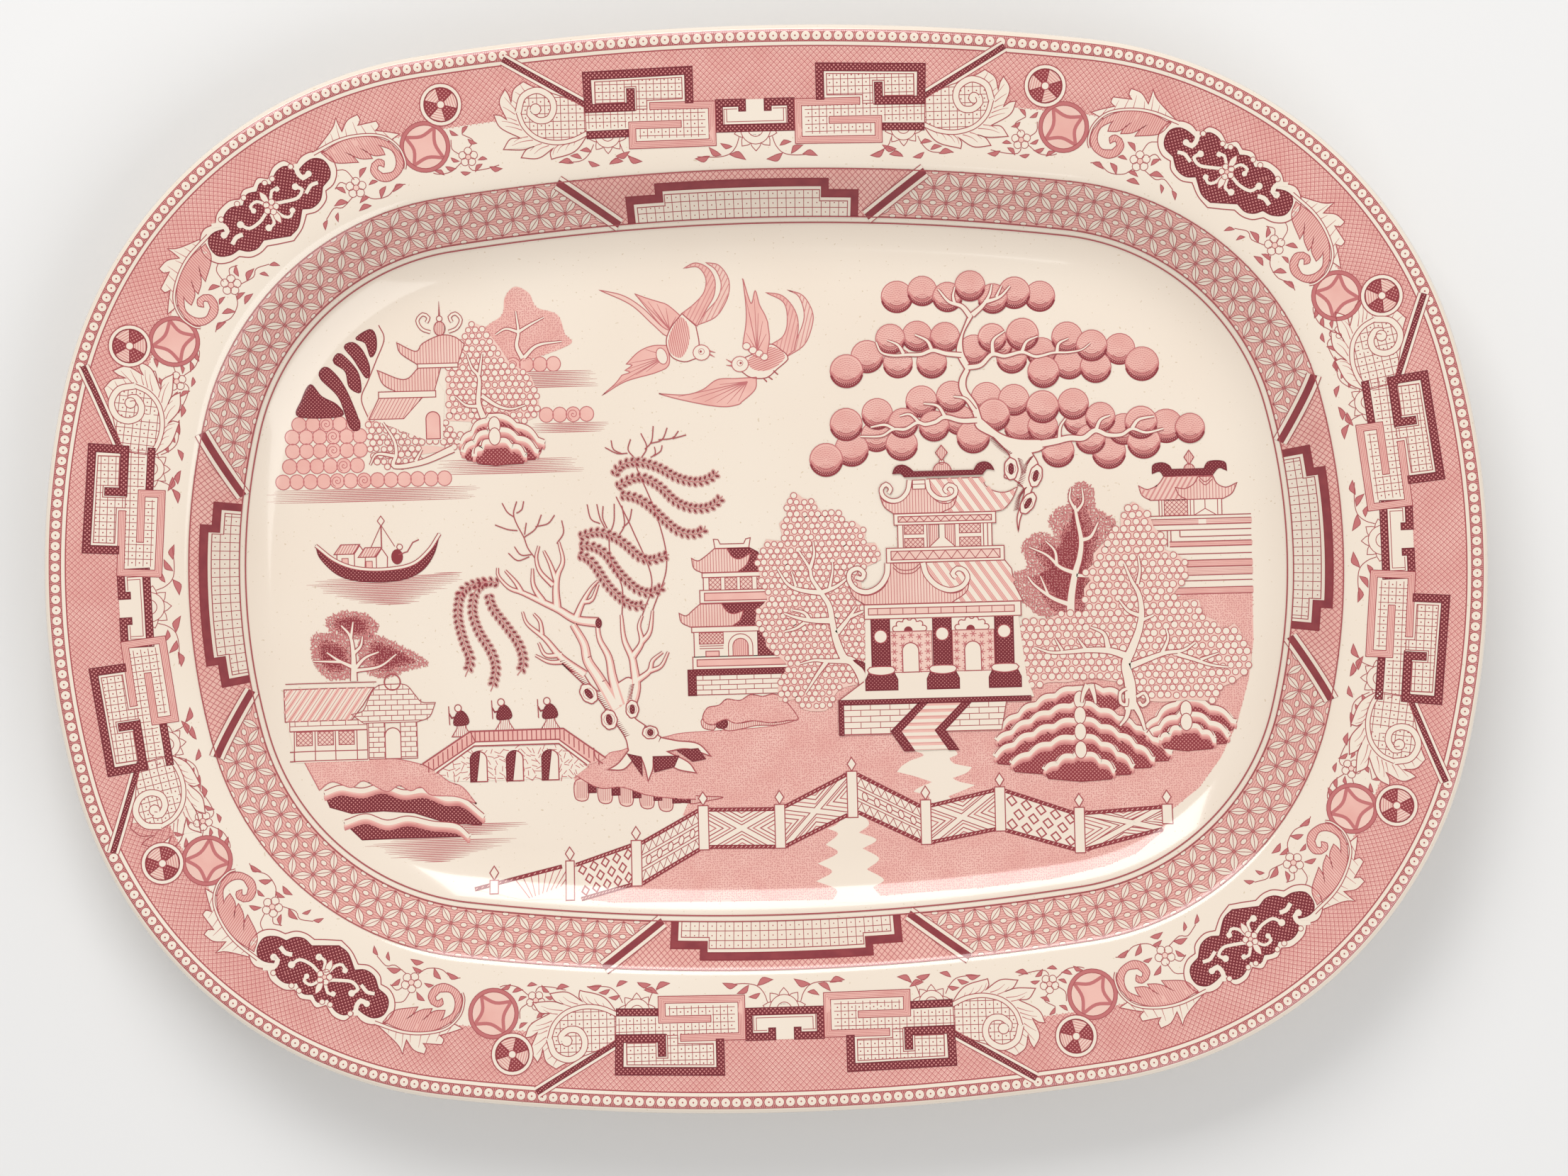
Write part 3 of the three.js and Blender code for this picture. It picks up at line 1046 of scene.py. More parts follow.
def draw_lattice(pen, start, stop):
    """Crossing chains of ivory petals on a finely ruled ground, with an eye in each diamond."""
    count = int(round((stop - start) / LATTICE_STEP))
    step = (stop - start) / count
    rise = (BAND_INNER - BAND_OUTER - 0.8) / 3
    top = BAND_OUTER + 0.4
    pen.area(box(start - 8, BAND_OUTER, stop + 8, BAND_INNER), "pale")
    for depth in np.arange(top + 0.3, BAND_INNER, 0.62):
        pen.up(1).line([(start - 8, depth), (stop + 8, depth)], 0.24, "soft")
    for k in range(-1, count + 1):
        for row in range(4):
            x, y = start + (k + 0.5 * (row % 2)) * step, top + row * rise
            if row < 3:
                for way in (-1, 1):
                    a, b = np.array([x, y]), np.array([x + way * step / 2, y + rise])
                    middle, side = (a + b) / 2, np.array([-(b - a)[1], (b - a)[0]]) * 0.19
                    lens = pieced([a, middle + side, b], [b, middle - side, a])
                    pen.up(2).form(lens, "ivory", 0.18, curved=False)
                    pen.up(4).line([a, b], 0.17, "line")
            eye = (x + step / 2, y)
            pen.up(3).form(oval(eye, 1.0, 0.62 if row in (1, 2) else 0.5, 0, 10), "ivory", 0.16,
                           curved=False)
            if row in (1, 2):
                pen.up(5).disc((x, y), 0.3, "mid", 6)


def draw_panel(pen, long, step):
    """A stepped dark frame over a ruled ivory panel, drawn about its own middle."""
    reach = long + 21
    net = [(-reach, BAND_OUTER), (reach, BAND_OUTER), (long + 4.6, BAND_INNER), (-long - 4.6, BAND_INNER)]
    pen.area(net, "pale")
    for rise, degrees in ((1, 45), (1.5, 135)):
        pen.up(rise).hatch(net, degrees, NET_PITCH * 0.7, 0.2, "mid")
    for way in (-1, 1):
        slant = [(way * (long + 3.6), BAND_INNER), (way * (long + 19.4), BAND_OUTER)]
        pen.up(14).line(slant, 4.2, "line")
        pen.up(15).line(slant, 3.7, "ivory")
        pen.up(16).line(slant, 1.9, "dark")
        pen.up(17).line(slant, 1.2, "wine")
    steps = [(-long, BAND_INNER), (-long, 46.3), (-step, 46.3), (-step, 43.4),
             (step, 43.4), (step, 46.3), (long, 46.3), (long, BAND_INNER)]
    inner = [(x * (1 - 2.0 / long), y + (2.0 if y < BAND_INNER else 0)) for x, y in steps]
    pen.up(3).area(steps, "ivory")
    gridded(pen.up(4), inner, 2.5, 0.2)
    pen.up(7).line(steps, 2.2, "dark")
    pen.up(8).line(steps, 1.5, "wine")


def make_band():
    art = Artwork("print_band")
    pen = Pen(art, on_band, 0, 2.0)
    for index, (middle, long, _) in enumerate(PANELS):
        following, next_long, _ = PANELS[(index + 1) % 4]
        following += BAND_LENGTH if index == 3 else 0
        draw_lattice(pen, middle + long + 11, following - next_long - 11)
    for middle, long, step in PANELS:
        local = Pen(art, lambda p, m=middle: on_band(np.asarray(p, float) + [m, 0]), 7, 2.0)
        draw_panel(local, long, step)
    run = np.linspace(0, BAND_LENGTH, 900)[:-1]
    for depth, width in ((BAND_OUTER, 0.3), (BAND_INNER, 0.3), (54.0, 0.35)):
        loop = on_band(np.stack([run, np.full_like(run, depth)], 1))
        Pen(art, None, 26).line(loop, width, "line", closed=True)
    lay(art)


# ------------------------------------------------------------------ landscape: ways of drawing
def limbs(pen, *pairs, over=1, fill="ivory"):
    """Light limbs that share one outline: each is points, width at the root and width at the tip."""
    for points, root, tip in pairs:
        points = smooth(points)
        pen.line(points, root + 0.6, "line", to=tip + 0.45)
        pen.up(over).line(points, root, fill, to=tip)
        if fill != "ivory":
            pen.up(over + 0.5).line(points + [-0.1, 0.1], root * 0.62, "ivory", to=tip * 0.4)


def foliage(pen, outline, radius, seed, fill="blush"):
    """A tree's crown drawn as packed small rings."""
    outline = smooth(outline, True, 2)
    pen.area(outline, fill)
    rng = np.random.default_rng(seed)
    pitch = radius * 2.13
    low, high = outline.min(0), outline.max(0)
    rows = int((high[1] - low[1]) / (pitch * 0.87)) + 1
    for row in range(rows):
        for x in np.arange(low[0] + (row % 2) * pitch / 2, high[0], pitch):
            spot = np.array([[x, low[1] + row * pitch * 0.87]]) + rng.uniform(-0.2, 0.2, (1, 2)) * radius
            if inside(spot, outline)[0]:
                size = radius * rng.uniform(0.84, 1.0)
                pen.up(1).disc(spot[0], size, "ivory", 11)
                pen.up(2).ring(spot[0], size, 0.26, "mid", 11)


def stipple(pen, outline, seed, density=2.3, ink="soft", long=0.62, wide=0.24):
    """Short worm-like marks scattered over a shape."""
    outline = np.asarray(outline, float)
    rng = np.random.default_rng(seed)
    low, high = outline.min(0), outline.max(0)
    cell = density ** -0.5
    columns, rows = np.ceil((high - low) / cell).astype(int)
    grid = np.stack(np.meshgrid(np.arange(columns), np.arange(rows)), -1).reshape(-1, 2) + 0.5
    spots = low + (grid + rng.uniform(-0.27, 0.27, grid.shape)) * cell
    keep = inside(spots, outline)
    spots = spots[keep]
    angle = rng.uniform(0, math.pi, len(spots))
    length = rng.uniform(0.6, 1.0, len(spots)) * long / 2
    along = np.stack([np.cos(angle), np.sin(angle)], -1) * length[:, None]
    across = np.stack([-np.sin(angle), np.cos(angle)], -1) * wide / 2
    quads = np.stack([spots - along - across, spots + along - across, spots + along + across,
                      spots - along + across], 1)
    pen.art.quads.append((pen.level, ink, pen.placed(quads.reshape(-1, 2)).reshape(-1, 4, 2)))


def water(pen, outline, seed, pitch=0.5, width=0.27, ink="mid"):
    """Level strokes that fade at their ends."""
    outline = np.asarray(outline, float)
    rng = np.random.default_rng(seed)
    for y in np.arange(outline[:, 1].min(), outline[:, 1].max(), pitch):
        level = np.array([[x, y] for x in np.arange(outline[:, 0].min(), outline[:, 0].max(), 0.5)])
        within = level[inside(level, outline)]
        if len(within) > 3:
            a, b = within[0, 0] - rng.uniform(0, 4), within[-1, 0] + rng.uniform(0, 4)
            xs = np.linspace(a, b, 9)
            pen.line(np.stack([xs, np.full(9, y)], 1), width, ink, swell=True)


def bricks(pen, outline, tall, long, ink="line"):
    """Courses of bricks across a shape, every other course shifted by half a brick."""
    outline = np.asarray(outline, float)
    pen.area(outline, "ivory")
    low, high = outline.min(0), outline.max(0)
    course = 0
    for y in np.arange(high[1] - tall, low[1], -tall):
        steps = np.array([[x, y] for x in np.arange(low[0], high[0] + 0.2, 0.2)])
        within = steps[inside(steps, outline)]
        if len(within) > 1:
            pen.up(1).line([within[0], within[-1]], 0.22, ink)
        for x in np.arange(low[0] + long * (0.4 + 0.5 * (course % 2)), high[0], long):
            joint = np.array([[x, y + tall * 0.5]])
            if inside(joint, outline)[0]:
                pen.up(1).line([(x, y), (x, y + tall)], 0.2, ink)
        course += 1
    pen.up(1).line(outline, 0.25, ink, closed=True)


def zigzag(pen, x0, y0, x1, y1, count):
    xs = np.linspace(x0, x1, 2 * count + 1)
    ys = np.where(np.arange(2 * count + 1) % 2, y1, y0)
    pen.line(np.stack([xs, ys], 1), 0.22)


def plank(pen, x0, y0, x1, y1, fill="ivory", width=0.28):
    pen.form(box(x0, y0, x1, y1), fill, width, curved=False)


def striped(pen, outline, degrees=90, pitch=0.85, fill="blush", ink="mid", width=0.18, edge=0.28):
    """A tiled roof or shaded shape: a light ground with ruled lines."""
    pen.form(outline, fill, edge, curved=False)
    pen.up(1).hatch(outline, degrees, pitch, width, ink)


def lattice_window(pen, x0, y0, x1, y1, pitch=0.95):
    panel = box(x0, y0, x1, y1)
    pen.form(panel, "blush", 0.25, curved=False)
    for degrees in (45, 135):
        pen.up(1).hatch(panel, degrees, pitch, 0.17, "line")


def knot(pen, centre, rx, ry, turn=0.0, seed=0):
    """A knot-hole with a light rim that is faintly scalloped."""
    a = np.linspace(0, 2 * math.pi, 29)[:-1]
    lobes = 1 + 0.09 * np.abs(np.sin(3.5 * a + seed)) - 0.04
    rim = oval((0, 0), rx, ry, 0, 28) * lobes[:, None]
    c, s = math.cos(turn), math.sin(turn)
    rim = rim @ np.array([[c, s], [-s, c]]) + centre
    pen.form(rim, "ivory", 0.35, curved=False)
    pen.up(2).ring(centre, min(rx, ry) * 0.72, 0.14, "mid", 14)
    crossed(pen.up(2), oval(centre, rx * 0.36, ry * 0.5, turn, 12), 0.6, 0.4)


# ------------------------------------------------------------------ landscape: ground and fence
GROUND = [
    (-57.5, -57.5), (-55.5, -54.3), (-52.5, -53.2), (-48.5, -53.2), (-46.5, -51.6), (-42.5, -50.8),
    (-38, -49), (-30, -47.3), (-25, -46.4), (-14, -46), (0, -45.2), (5.5, -43.4), (4, -36.5), (14, -35),
    (27, -33), (34, -36), (70, -36), (100, -30), (117, -12), (119, -10.3), (139.3, -10.3),
    (139.2, -24), (137.6, -35), (134, -47.5), (129, -57.5), (122.5, -66), (114, -72.5), (112, -78),
    (104, -84.2), (95, -87.6), (80, -90.8), (60, -92.8), (45, -93.6), (17, -95.2), (-10, -95),
    (-46, -94.4), (-56, -93), (-38.5, -89.6), (-20, -79.5), (-21, -70), (-26, -70.2), (-24, -66),
    (-40, -63.5), (-50, -61.3), (-56.5, -59.8),
]
STEP_GLINT = pieced(
    [(41, -53.2), (43.8, -54.6), (40, -56)], [(40, -56), (37.4, -57.6), (36, -59.2)],
    [(36, -59.2), (41, -60.6), (46, -62.4)], [(46, -62.4), (42, -64), (40.6, -65)],
    [(40.6, -65), (45, -66.6), (44, -70)], [(44, -70), (52, -69), (50.6, -66.6)],
    [(50.6, -66.6), (55, -65), (58.4, -63.6)], [(58.4, -63.6), (53.6, -62.4), (52, -61.4)],
    [(52, -61.4), (56, -60), (57.6, -58.4)], [(57.6, -58.4), (52.4, -57.2), (51.2, -55.6)],
    [(51.2, -55.6), (53.6, -54.6), (52.6, -53.2)], [(52.6, -53.2), (47, -52.6), (41, -53.2)],
)
POST_GLINT = pieced(
    [(20, -71), (18.6, -73.6), (15.6, -75)], [(15.6, -75), (18.6, -76.6), (15, -79.6)],
    [(15, -79.6), (18.4, -82), (12.6, -85)], [(12.6, -85), (16.6, -87.4), (12, -90)],
    [(12, -90), (17.8, -92.6), (16, -96)], [(16, -96), (30, -96), (28.2, -92)],
    [(28.2, -92), (31.4, -90), (26.6, -87)], [(26.6, -87), (30.2, -84), (25.6, -81)],
    [(25.6, -81), (29.6, -78.6), (24.6, -76.4)], [(24.6, -76.4), (27.6, -74), (25.6, -71)],
    [(25.6, -71), (22, -70), (20, -71)],
)


def make_ground():
    art = Artwork("print_ground")
    pen = Pen(art)
    pen.area(GROUND, "pale")
    stipple(pen.up(1), GROUND, 5)
    pen.up(1).line(smooth(GROUND[:12], step=1), 0.25, "mid")
    for glint in (STEP_GLINT, POST_GLINT):
        pen.up(2).area(glint, "ivory")
    mound = smooth([(-19.4, -42.5), (-18, -39.4), (-14.6, -38.7), (-12.4, -37), (-8.6, -37.5),
                    (-5.5, -35.9), (-2, -36.5),
                    (1, -35.9), (4, -37.4), (8, -43), (5, -43.6), (0, -44.1), (-5, -43.4), (-10, -44),
                    (-13, -42.8),
                    (-17, -44.3)], True)
    face = smooth([(-19.6, -42.6), (-16, -44.4), (-13, -42.8), (-9, -44), (-4, -43.4), (6.5, -43.6),
                   (2, -44.8), (-4, -44.8),
                   (-8, -45.6), (-12.4, -46.1), (-15.4, -44.6), (-16.4, -45.8), (-19.4, -45)], True)
    striped(pen.up(3), face, 86, 0.62)
    crossed(pen.up(5), smooth([(-15.6, -44.8), (-14.2, -42.8), (-12.4, -43.4), (-12.6, -45), (-14, -45.4)],
                              True), 0.7, 0.45)
    pen.up(8).form(mound, "pale", 0.3, curved=False)
    stipple(pen.up(9), mound, 6)
    draw_bank(Pen(art, None, 3))
    lay(art)


def draw_bank(pen):
    """The cliff of round stones below the willow."""
    top = [(-57.6, -57), (-50, -61.5), (-43, -61.6), (-36, -64), (-28, -65.2), (-22, -65.6)]
    for k, x in enumerate((-56.8, -50, -44, -38, -32.6)):
        y = -60 - k * 0.9
        pen.form(smooth([(x, y), (x + 0.3, y - 4.6), (x + 3.6, y - 4.8), (x + 3.9, y), (x + 2, y + 1.2)],
                        True),
                 "blush", 0.28, curved=False)
        pen.up(2).hatch(box(x + 0.2, y - 4.4, x + 3.7, y + 0.4), 88, 0.55, 0.16, "mid")
        crossed(pen.up(1), box(x + 3.9, y - 2.9, x + 6.2, y + 0.6), 0.7, 0.46)
    crossed(pen.up(1), [(-26.2, -64.6), (-23.6, -64.8), (-23.6, -66.6), (-26.2, -66.4)], 0.7, 0.46)
    striped(pen.up(1), smooth([(-23.6, -64.6), (-20, -64.8), (-14.2, -65.2), (-19, -66.2), (-23.6, -66.8)],
                              True), 90, 0.55)
    skirt = np.concatenate([smooth(top), [(-22, -58), (-57, -56)]])
    pen.up(4).area(skirt, "pale")
    stipple(pen.up(5), skirt, 7)
    pen.up(5).curve(top, 0.28)


POSTS = (  # middle, top and foot of each fence post
    (-80.5, -87.3, -91), (-58.7, -82.4, -93.4), (-39.5, -77, -90), (-20, -67.5, -80.2),
    (2, -67.7, -80.3), (23, -58.7, -72), (44, -67.5, -80.3), (65.4, -64.3, -77), (88.1, -70.8, -83.8),
    (113.3, -70.5, -76),
)
RAILS = (  # left top, right top, right foot and left foot of each fence panel, and its pattern
    ((-86, -89.6), (-61, -83.9), (-61, -93), (-72, -93), "bars"),
    ((-57, -83.6), (-41, -78.4), (-41, -89.6), (-55.5, -93.2), "diamonds"),
    ((-38, -77.8), (-21.3, -68.8), (-21.3, -80), (-38, -89.4), "ovals"),
    ((-18.6, -68.7), (0.6, -69), (0.6, -79.8), (-18.6, -79.4), "cross"),
    ((3.3, -68.5), (21.5, -59.6), (21.5, -71.2), (3.3, -79.8), "cross"),
    ((24.5, -59.6), (42.5, -69.3), (42.5, -79.4), (24.5, -70.5), "ovals"),
    ((45.4, -69.2), (64, -65.2), (64, -76.4), (45.4, -79.7), "cross"),
    ((66.8, -65.4), (86.6, -72.4), (86.6, -82.8), (66.8, -76.8), "diamonds"),
    ((89.7, -72.5), (111.8, -71.3), (111.8, -77.5), (89.7, -82.8), "cross"),
)


def between(corners):
    """Places points of the unit square between four corners, given from the lower left round."""
    a, b, c, d = (np.array(p, float) for p in corners)

    def place(points):
        u, v = points[:, :1], points[:, 1:]
        return a * (1 - u) * (1 - v) + b * u * (1 - v) + c * u * v + d * (1 - u) * v

    return place


def draw_fence_panel(pen, left, right, right_foot, left_foot, pattern):
    board = Pen(pen.art, between((left_foot, right_foot, right, left)), pen.level)
    board.area(box(0, 0, 1, 1), "ivory")
    if pattern == "diamonds":
        for row, v in enumerate((0.2, 0.5, 0.8)):
            for u in np.arange(0.1 + 0.1 * (row % 2), 0.97, 0.21):
                diamond = [(u - 0.07, v), (u, v + 0.13), (u + 0.07, v), (u, v - 0.13)]
                board.up(1).line(diamond, 0.42, "line", closed=True)
    elif pattern == "ovals":
        for v in (0.3, 0.38, 0.62, 0.7):
            board.up(1).line([(0, v), (1, v)], 0.25)
        for u in np.arange(0.12, 1, 0.19):
            board.up(1).form(oval((u, 0.5), 0.045, 0.11), "ivory", 0.25, curved=False)
            board.up(1).line([(u + 0.05, 0.5), (u + 0.14, 0.5)], 0.3)
        for low, high in ((0.06, 0.28), (0.72, 0.94)):
            zigzag(board.up(1), 0, low, 1, high, 8)
    elif pattern == "cross":
        for k in range(1, 5):
            d = 0.11 * k
            for chevron in ([(0.5 - d, 1), (0.5, 1 - d), (0.5 + d, 1)],
                            [(0.5 - d, 0), (0.5, d), (0.5 + d, 0)],
                            [(0, 0.5 - d), (d, 0.5), (0, 0.5 + d)],
                            [(1, 0.5 - d), (1 - d, 0.5), (1, 0.5 + d)]):
                board.up(1).line(chevron, 0.3, "mid" if k % 2 else "line")
        for start, stop in (((0, 0), (1, 1)), ((0, 1), (1, 0))):
            board.up(2).line([start, stop], 1.9, "line")
            board.up(3).line([start, stop], 1.35, "ivory")
    else:
        for k in np.arange(0.25, 1, 0.09):
            board.up(1).line([(k, k * 0.4), (k + 0.2, 0.95)], 0.25, "mid")
    for start, stop in ((left, right), (left_foot, right_foot)):
        if pattern == "bars" and start == left_foot:
            continue
        pen.up(4).line([start, stop], 1.15, "dark")
        run = np.linspace(0, 1, 16)[:-1, None] + 0.02
        for spot in np.array(start) + (np.array(stop) - start) * run:
            pen.up(5).line([spot - [0.3, 0.22], spot + [0.3, 0.22]], 0.2, "pale")


def make_fence():
    art = Artwork("print_fence")
    pen = Pen(art, None, 6)
    for panel in RAILS:
        draw_fence_panel(pen, *panel)
    for x, top, foot in POSTS:
        half = 1.45 if x > -50 else 1.2
        pen.up(6).form(box(x - half, foot, x + half, top), "ivory", 0.3, curved=False)
        pen.up(6).form([(x, top + 0.1), (x - 1.25, top + 2.1), (x, top + 4), (x + 1.25, top + 2.1)],
                       "ivory", 0.3, curved=False)
    lay(art)


# ------------------------------------------------------------------ landscape: pagodas
def draw_great_pagoda(pen):
    """The two-storeyed tea house on its brick terrace."""
    pen.up(0).area([(27.6, -32.5), (19.8, -38.5), (76, -38.5), (74, -33), (72, -15), (28, -15)], "ivory")
    pen.up(1).line([(27.2, -33), (19.8, -38.3)], 0.3)
    bricks(pen.up(1), [(21, -39.5), (43.4, -39.5), (35, -48.2), (21, -48.2)], 1.72, 5.6)
    bricks(pen.up(1), [(57, -39.5), (68, -39.5), (66.4, -47.8), (50.4, -47.8), (49.4, -46.8)], 1.72, 5.6)
    stairs = [(44.6, -39.5), (57, -39.5), (49.4, -47.5), (52.8, -53), (40, -53.2), (36, -47.5)]
    pen.up(3).area(stairs, "ivory")
    pen.up(4).hatch(stairs, 0, 1.9, 0.95, "pale")
    pen.up(5).hatch(stairs, 0, 1.9, 0.14, "soft", 0.12)
    for x in (0, 12.7):
        flight = [(43 + x, -39.3), (45.5 + x, -39.3), (37.4 + x, -47.5), (41.2 + x, -53.2),
                  (38.4 + x, -53.2),
                  (34.6 + x, -47.5)]
        crossed(pen.up(6), flight, 0.8, 0.5)
    crossed(pen.up(6), box(19.8, -39.6, 75, -38.3), 0.7, 0.42)
    crossed(pen.up(6), box(19.8, -48.3, 21.1, -38.3), 0.7, 0.42)
    for x in (35, 52.9):
        wall = box(x, -30.6, x + 12, -18.9)
        pen.up(1).form(wall, "blush", 0.22, curved=False)
        for column in range(5):
            for row in range(5):
                star = (x + 1.2 + 2.4 * column, -20 - 2.35 * row - 1.1 * (column % 2) * 0.5)
                for degrees in (0, 60, 120):
                    ends = [polar(star, 0.95, degrees), polar(star, -0.95, degrees)]
                    pen.up(2).line(ends, 0.26, "mid")
        door = np.concatenate([[(x + 3.5, -30.6)], arc((x + 5.8, -24.5), 2.35, 180, 0), [(x + 8.2, -30.6)]])
        pen.up(3).form(door, "ivory", 0.3, curved=False)
        scallops = np.concatenate([arc((x + 5.7 + 4.2 * math.cos(a), -18.8 + 2.9 * math.sin(a)), 0.85,
                                       math.degrees(a) + 80, math.degrees(a) - 80, 5)
                                   for a in np.linspace(math.pi - 0.25, 0.25, 6)])
        pen.up(2).form(scallops, "ivory", 0.3, curved=False)
        pen.up(4).area(arc((x + 5.3, -18.7), 1.25, 0, 180), "dark")
    for x, y in ((32.3, -20.2), (50, -19.8), (67.8, -19.5)):
        crossed(pen.up(5), box(x - 2.65, -29.4, x + 2.65, -15), 0.75, 0.48)
        foot = [(x - 3.6, -30.6), (x + 3.6, -30.6), (x + 4.6, -32.6), (x + 4.6, -35.6), (x - 4.6, -35.6),
                (x - 4.6, -32.6)]
        crossed(pen.up(5), foot, 0.75, 0.48)
        pen.up(8).form([(x - 3.3, -29), (x + 3.3, -29), (x + 3.5, -30.6), (x, -31.3), (x - 3.5, -30.6)],
                       "ivory", 0.3)
        pen.up(8).form(oval((x, y), 1.9, 1.9), "ivory", 0.3, curved=False)
    plank(pen.up(9), 27.8, -15.1, 72.8, -11)
    plank(pen.up(10), 29, -13.9, 70.9, -12.1, "blush")
    for x in np.arange(31.6, 70, 3.65):
        pen.up(11).line([(x, -13.9), (x, -12.1)], 0.22)
    draw_roof(pen, (0, 0))
    plank(pen.up(9), 34.6, 0.9, 68.4, 5.1)
    plank(pen.up(10), 35.9, 1.7, 67.2, 4.2, "blush")
    zigzag(pen.up(11), 36, 1.8, 67, 4.1, 9)
    plank(pen.up(9), 38, 5.1, 65, 11.7)
    for x0, x1 in ((39.9, 45.4), (55.7, 61.8)):
        for y in (5.2, 9.0):
            lattice_window(pen.up(10), x0, y, x1, y + 2.6)
    for x0, x1 in ((47, 49.8), (51.6, 54.4)):
        hinge = x0 if x0 == 47 else x1
        leaf = x1 if x0 == 47 else x0
        striped(pen.up(10), [(hinge, 11.6), (leaf, 11.6), (leaf, 7.8), (hinge, 5.2)], 90, 0.6)
    for x in (39.5, 46.4, 62.6, 63.8):
        pen.up(10).line([(x, 5.1), (x, 11.6)], 0.3)
    plank(pen.up(9), 37, 11.7, 66.2, 14.9)
    plank(pen.up(10), 38.2, 12.5, 65, 14.1, "blush")
    zigzag(pen.up(11), 38.3, 12.6, 65, 14, 11)
    draw_roof(pen, (1, 0))
    ridge = pieced([(37, 26.5), (37.8, 28.3), (39.8, 28.9), (41.8, 28), (42.9, 26.9)],
                   [(42.9, 26.9), (60.3, 26.9)],
                   [(60.3, 26.9), (61.5, 28.7), (63.6, 29.2), (65.2, 28.4), (66, 26.9)],
                   [(66, 26.9), (64, 27.2), (62.7, 25.7)],
                   [(62.7, 25.7), (40.3, 25.5)], [(40.3, 25.5), (39.3, 26.5), (37, 26.5)])
    striped(pen.up(10), arc((51.2, 26.8), 2.6, 0, 180), 90, 0.6)
    striped(pen.up(10), [(51.1, 34.3), (52.8, 32.2), (51.1, 29.9), (49.4, 32.2)], 90, 0.5)
    pen.up(10).form(oval((51.1, 29.5), 0.7, 0.7), "ivory", 0.25, curved=False)
    crossed(pen.up(12), ridge, 0.7, 0.5)


def draw_roof(pen, storey):
    """A swept roof with two curled horns in front and a striped side."""
    if storey[0]:
        front = pieced([(41.8, 22.4), (46.8, 22.4)],
                       [(46.8, 22.4), (47.8, 20), (50, 18), (52.8, 17.6), (55.2, 19.4)],
                       [(55.2, 19.4), (53.9, 16.6), (50.6, 15)], [(50.6, 15), (37, 15)],
                       [(37, 15), (34.4, 17), (33.2, 20)],
                       [(33.2, 20), (34.8, 18.4), (37.8, 18), (40.6, 20), (41.8, 22.4)])
        flank = pieced([(46.8, 24.7), (62.6, 24.8)],
                       [(62.6, 24.8), (63.5, 22.4), (66.2, 20.7), (69.5, 20.4), (72.7, 21.8)],
                       [(72.7, 21.8), (71, 18.2), (68.6, 15.6), (66.2, 15)], [(66.2, 15), (49, 15)],
                       [(49, 15), (46.8, 24.7)])
        horns = (([(41.8, 24.5), (41.1, 21.3), (39, 19.1), (36.4, 18.7), (34.1, 20.1), (33.6, 22.2),
                   (35, 23.5), (36.3, 22.2),
                   (35.6, 20.9)], 1.15), ([(46.8, 24.5), (47.4, 21.4), (49.7, 19.2), (52.6, 18.9),
                                           (54.8, 20.2), (54.8, 22.1),
                                           (53, 22.9), (51.8, 21.6), (52.5, 20.7)], 1.15))
        pen.up(12).form(box(42.6, 21.9, 46.2, 24.5), "ivory", 0.25, curved=False)
        pen.up(13).line([(42.6, 23.3), (46.2, 23.3)], 0.22)
    else:
        front = pieced([(35.4, 0.8), (45.4, 0.8)],
                       [(45.4, 0.8), (46, -3.5), (49, -6.8), (52.5, -8.2), (56, -7.5), (58.2, -4.4)],
                       [(58.2, -4.4), (57.2, -8), (53, -10.9)], [(53, -10.9), (28, -10.9)],
                       [(28, -10.9), (24.8, -8.4), (23.2, -4)],
                       [(23.2, -4), (26, -7.6), (29.5, -8.2), (33, -6.6), (35, -3.5), (35.4, 0.8)])
        flank = [(46, 0.8), (68.5, 0.9), (70.4, -1.6), (71, -6), (73.4, -10.9), (52, -10.9), (46, -5)]
        horns = (([(34.9, 0.8), (34.5, -2.6), (32.4, -5.7), (29, -7.3), (25.7, -6.5), (23.8, -4),
                   (24, -1.4), (26.3, -0.4),
                   (28, -1.9), (27.3, -3.4), (26, -3)], 1.4),
                   ([(45, 0.7), (46, -2.8), (48.8, -5.9), (52.5, -7.3), (56, -6.4),
                                                                (57.7, -4), (56.8, -1.8), (54.8, -1.2),
                                                                    (53.4, -2.6), (54.4, -3.8)], 1.4))
        for drop in (0, 1.0):
            pen.up(12).curve([(36.4, 0.6 - drop), (38.4, -1.1 - drop), (42, -1.1 - drop),
                              (44.2, 0.6 - drop)], 0.24)
    pen.up(3).form(flank, "ivory", 0.28, curved=False)
    pen.up(4).hatch(flank, -55, 2.5, 1.2, "pale")
    for phase in (0.18, 0.0, -0.18):
        pen.up(5).hatch(flank, -55, 2.5, 0.13, "soft", phase)
    striped(pen.up(6), front, 90, 0.85)
    for points, width in horns:
        scroll(pen.up(9), points, width, to=width * 0.75)


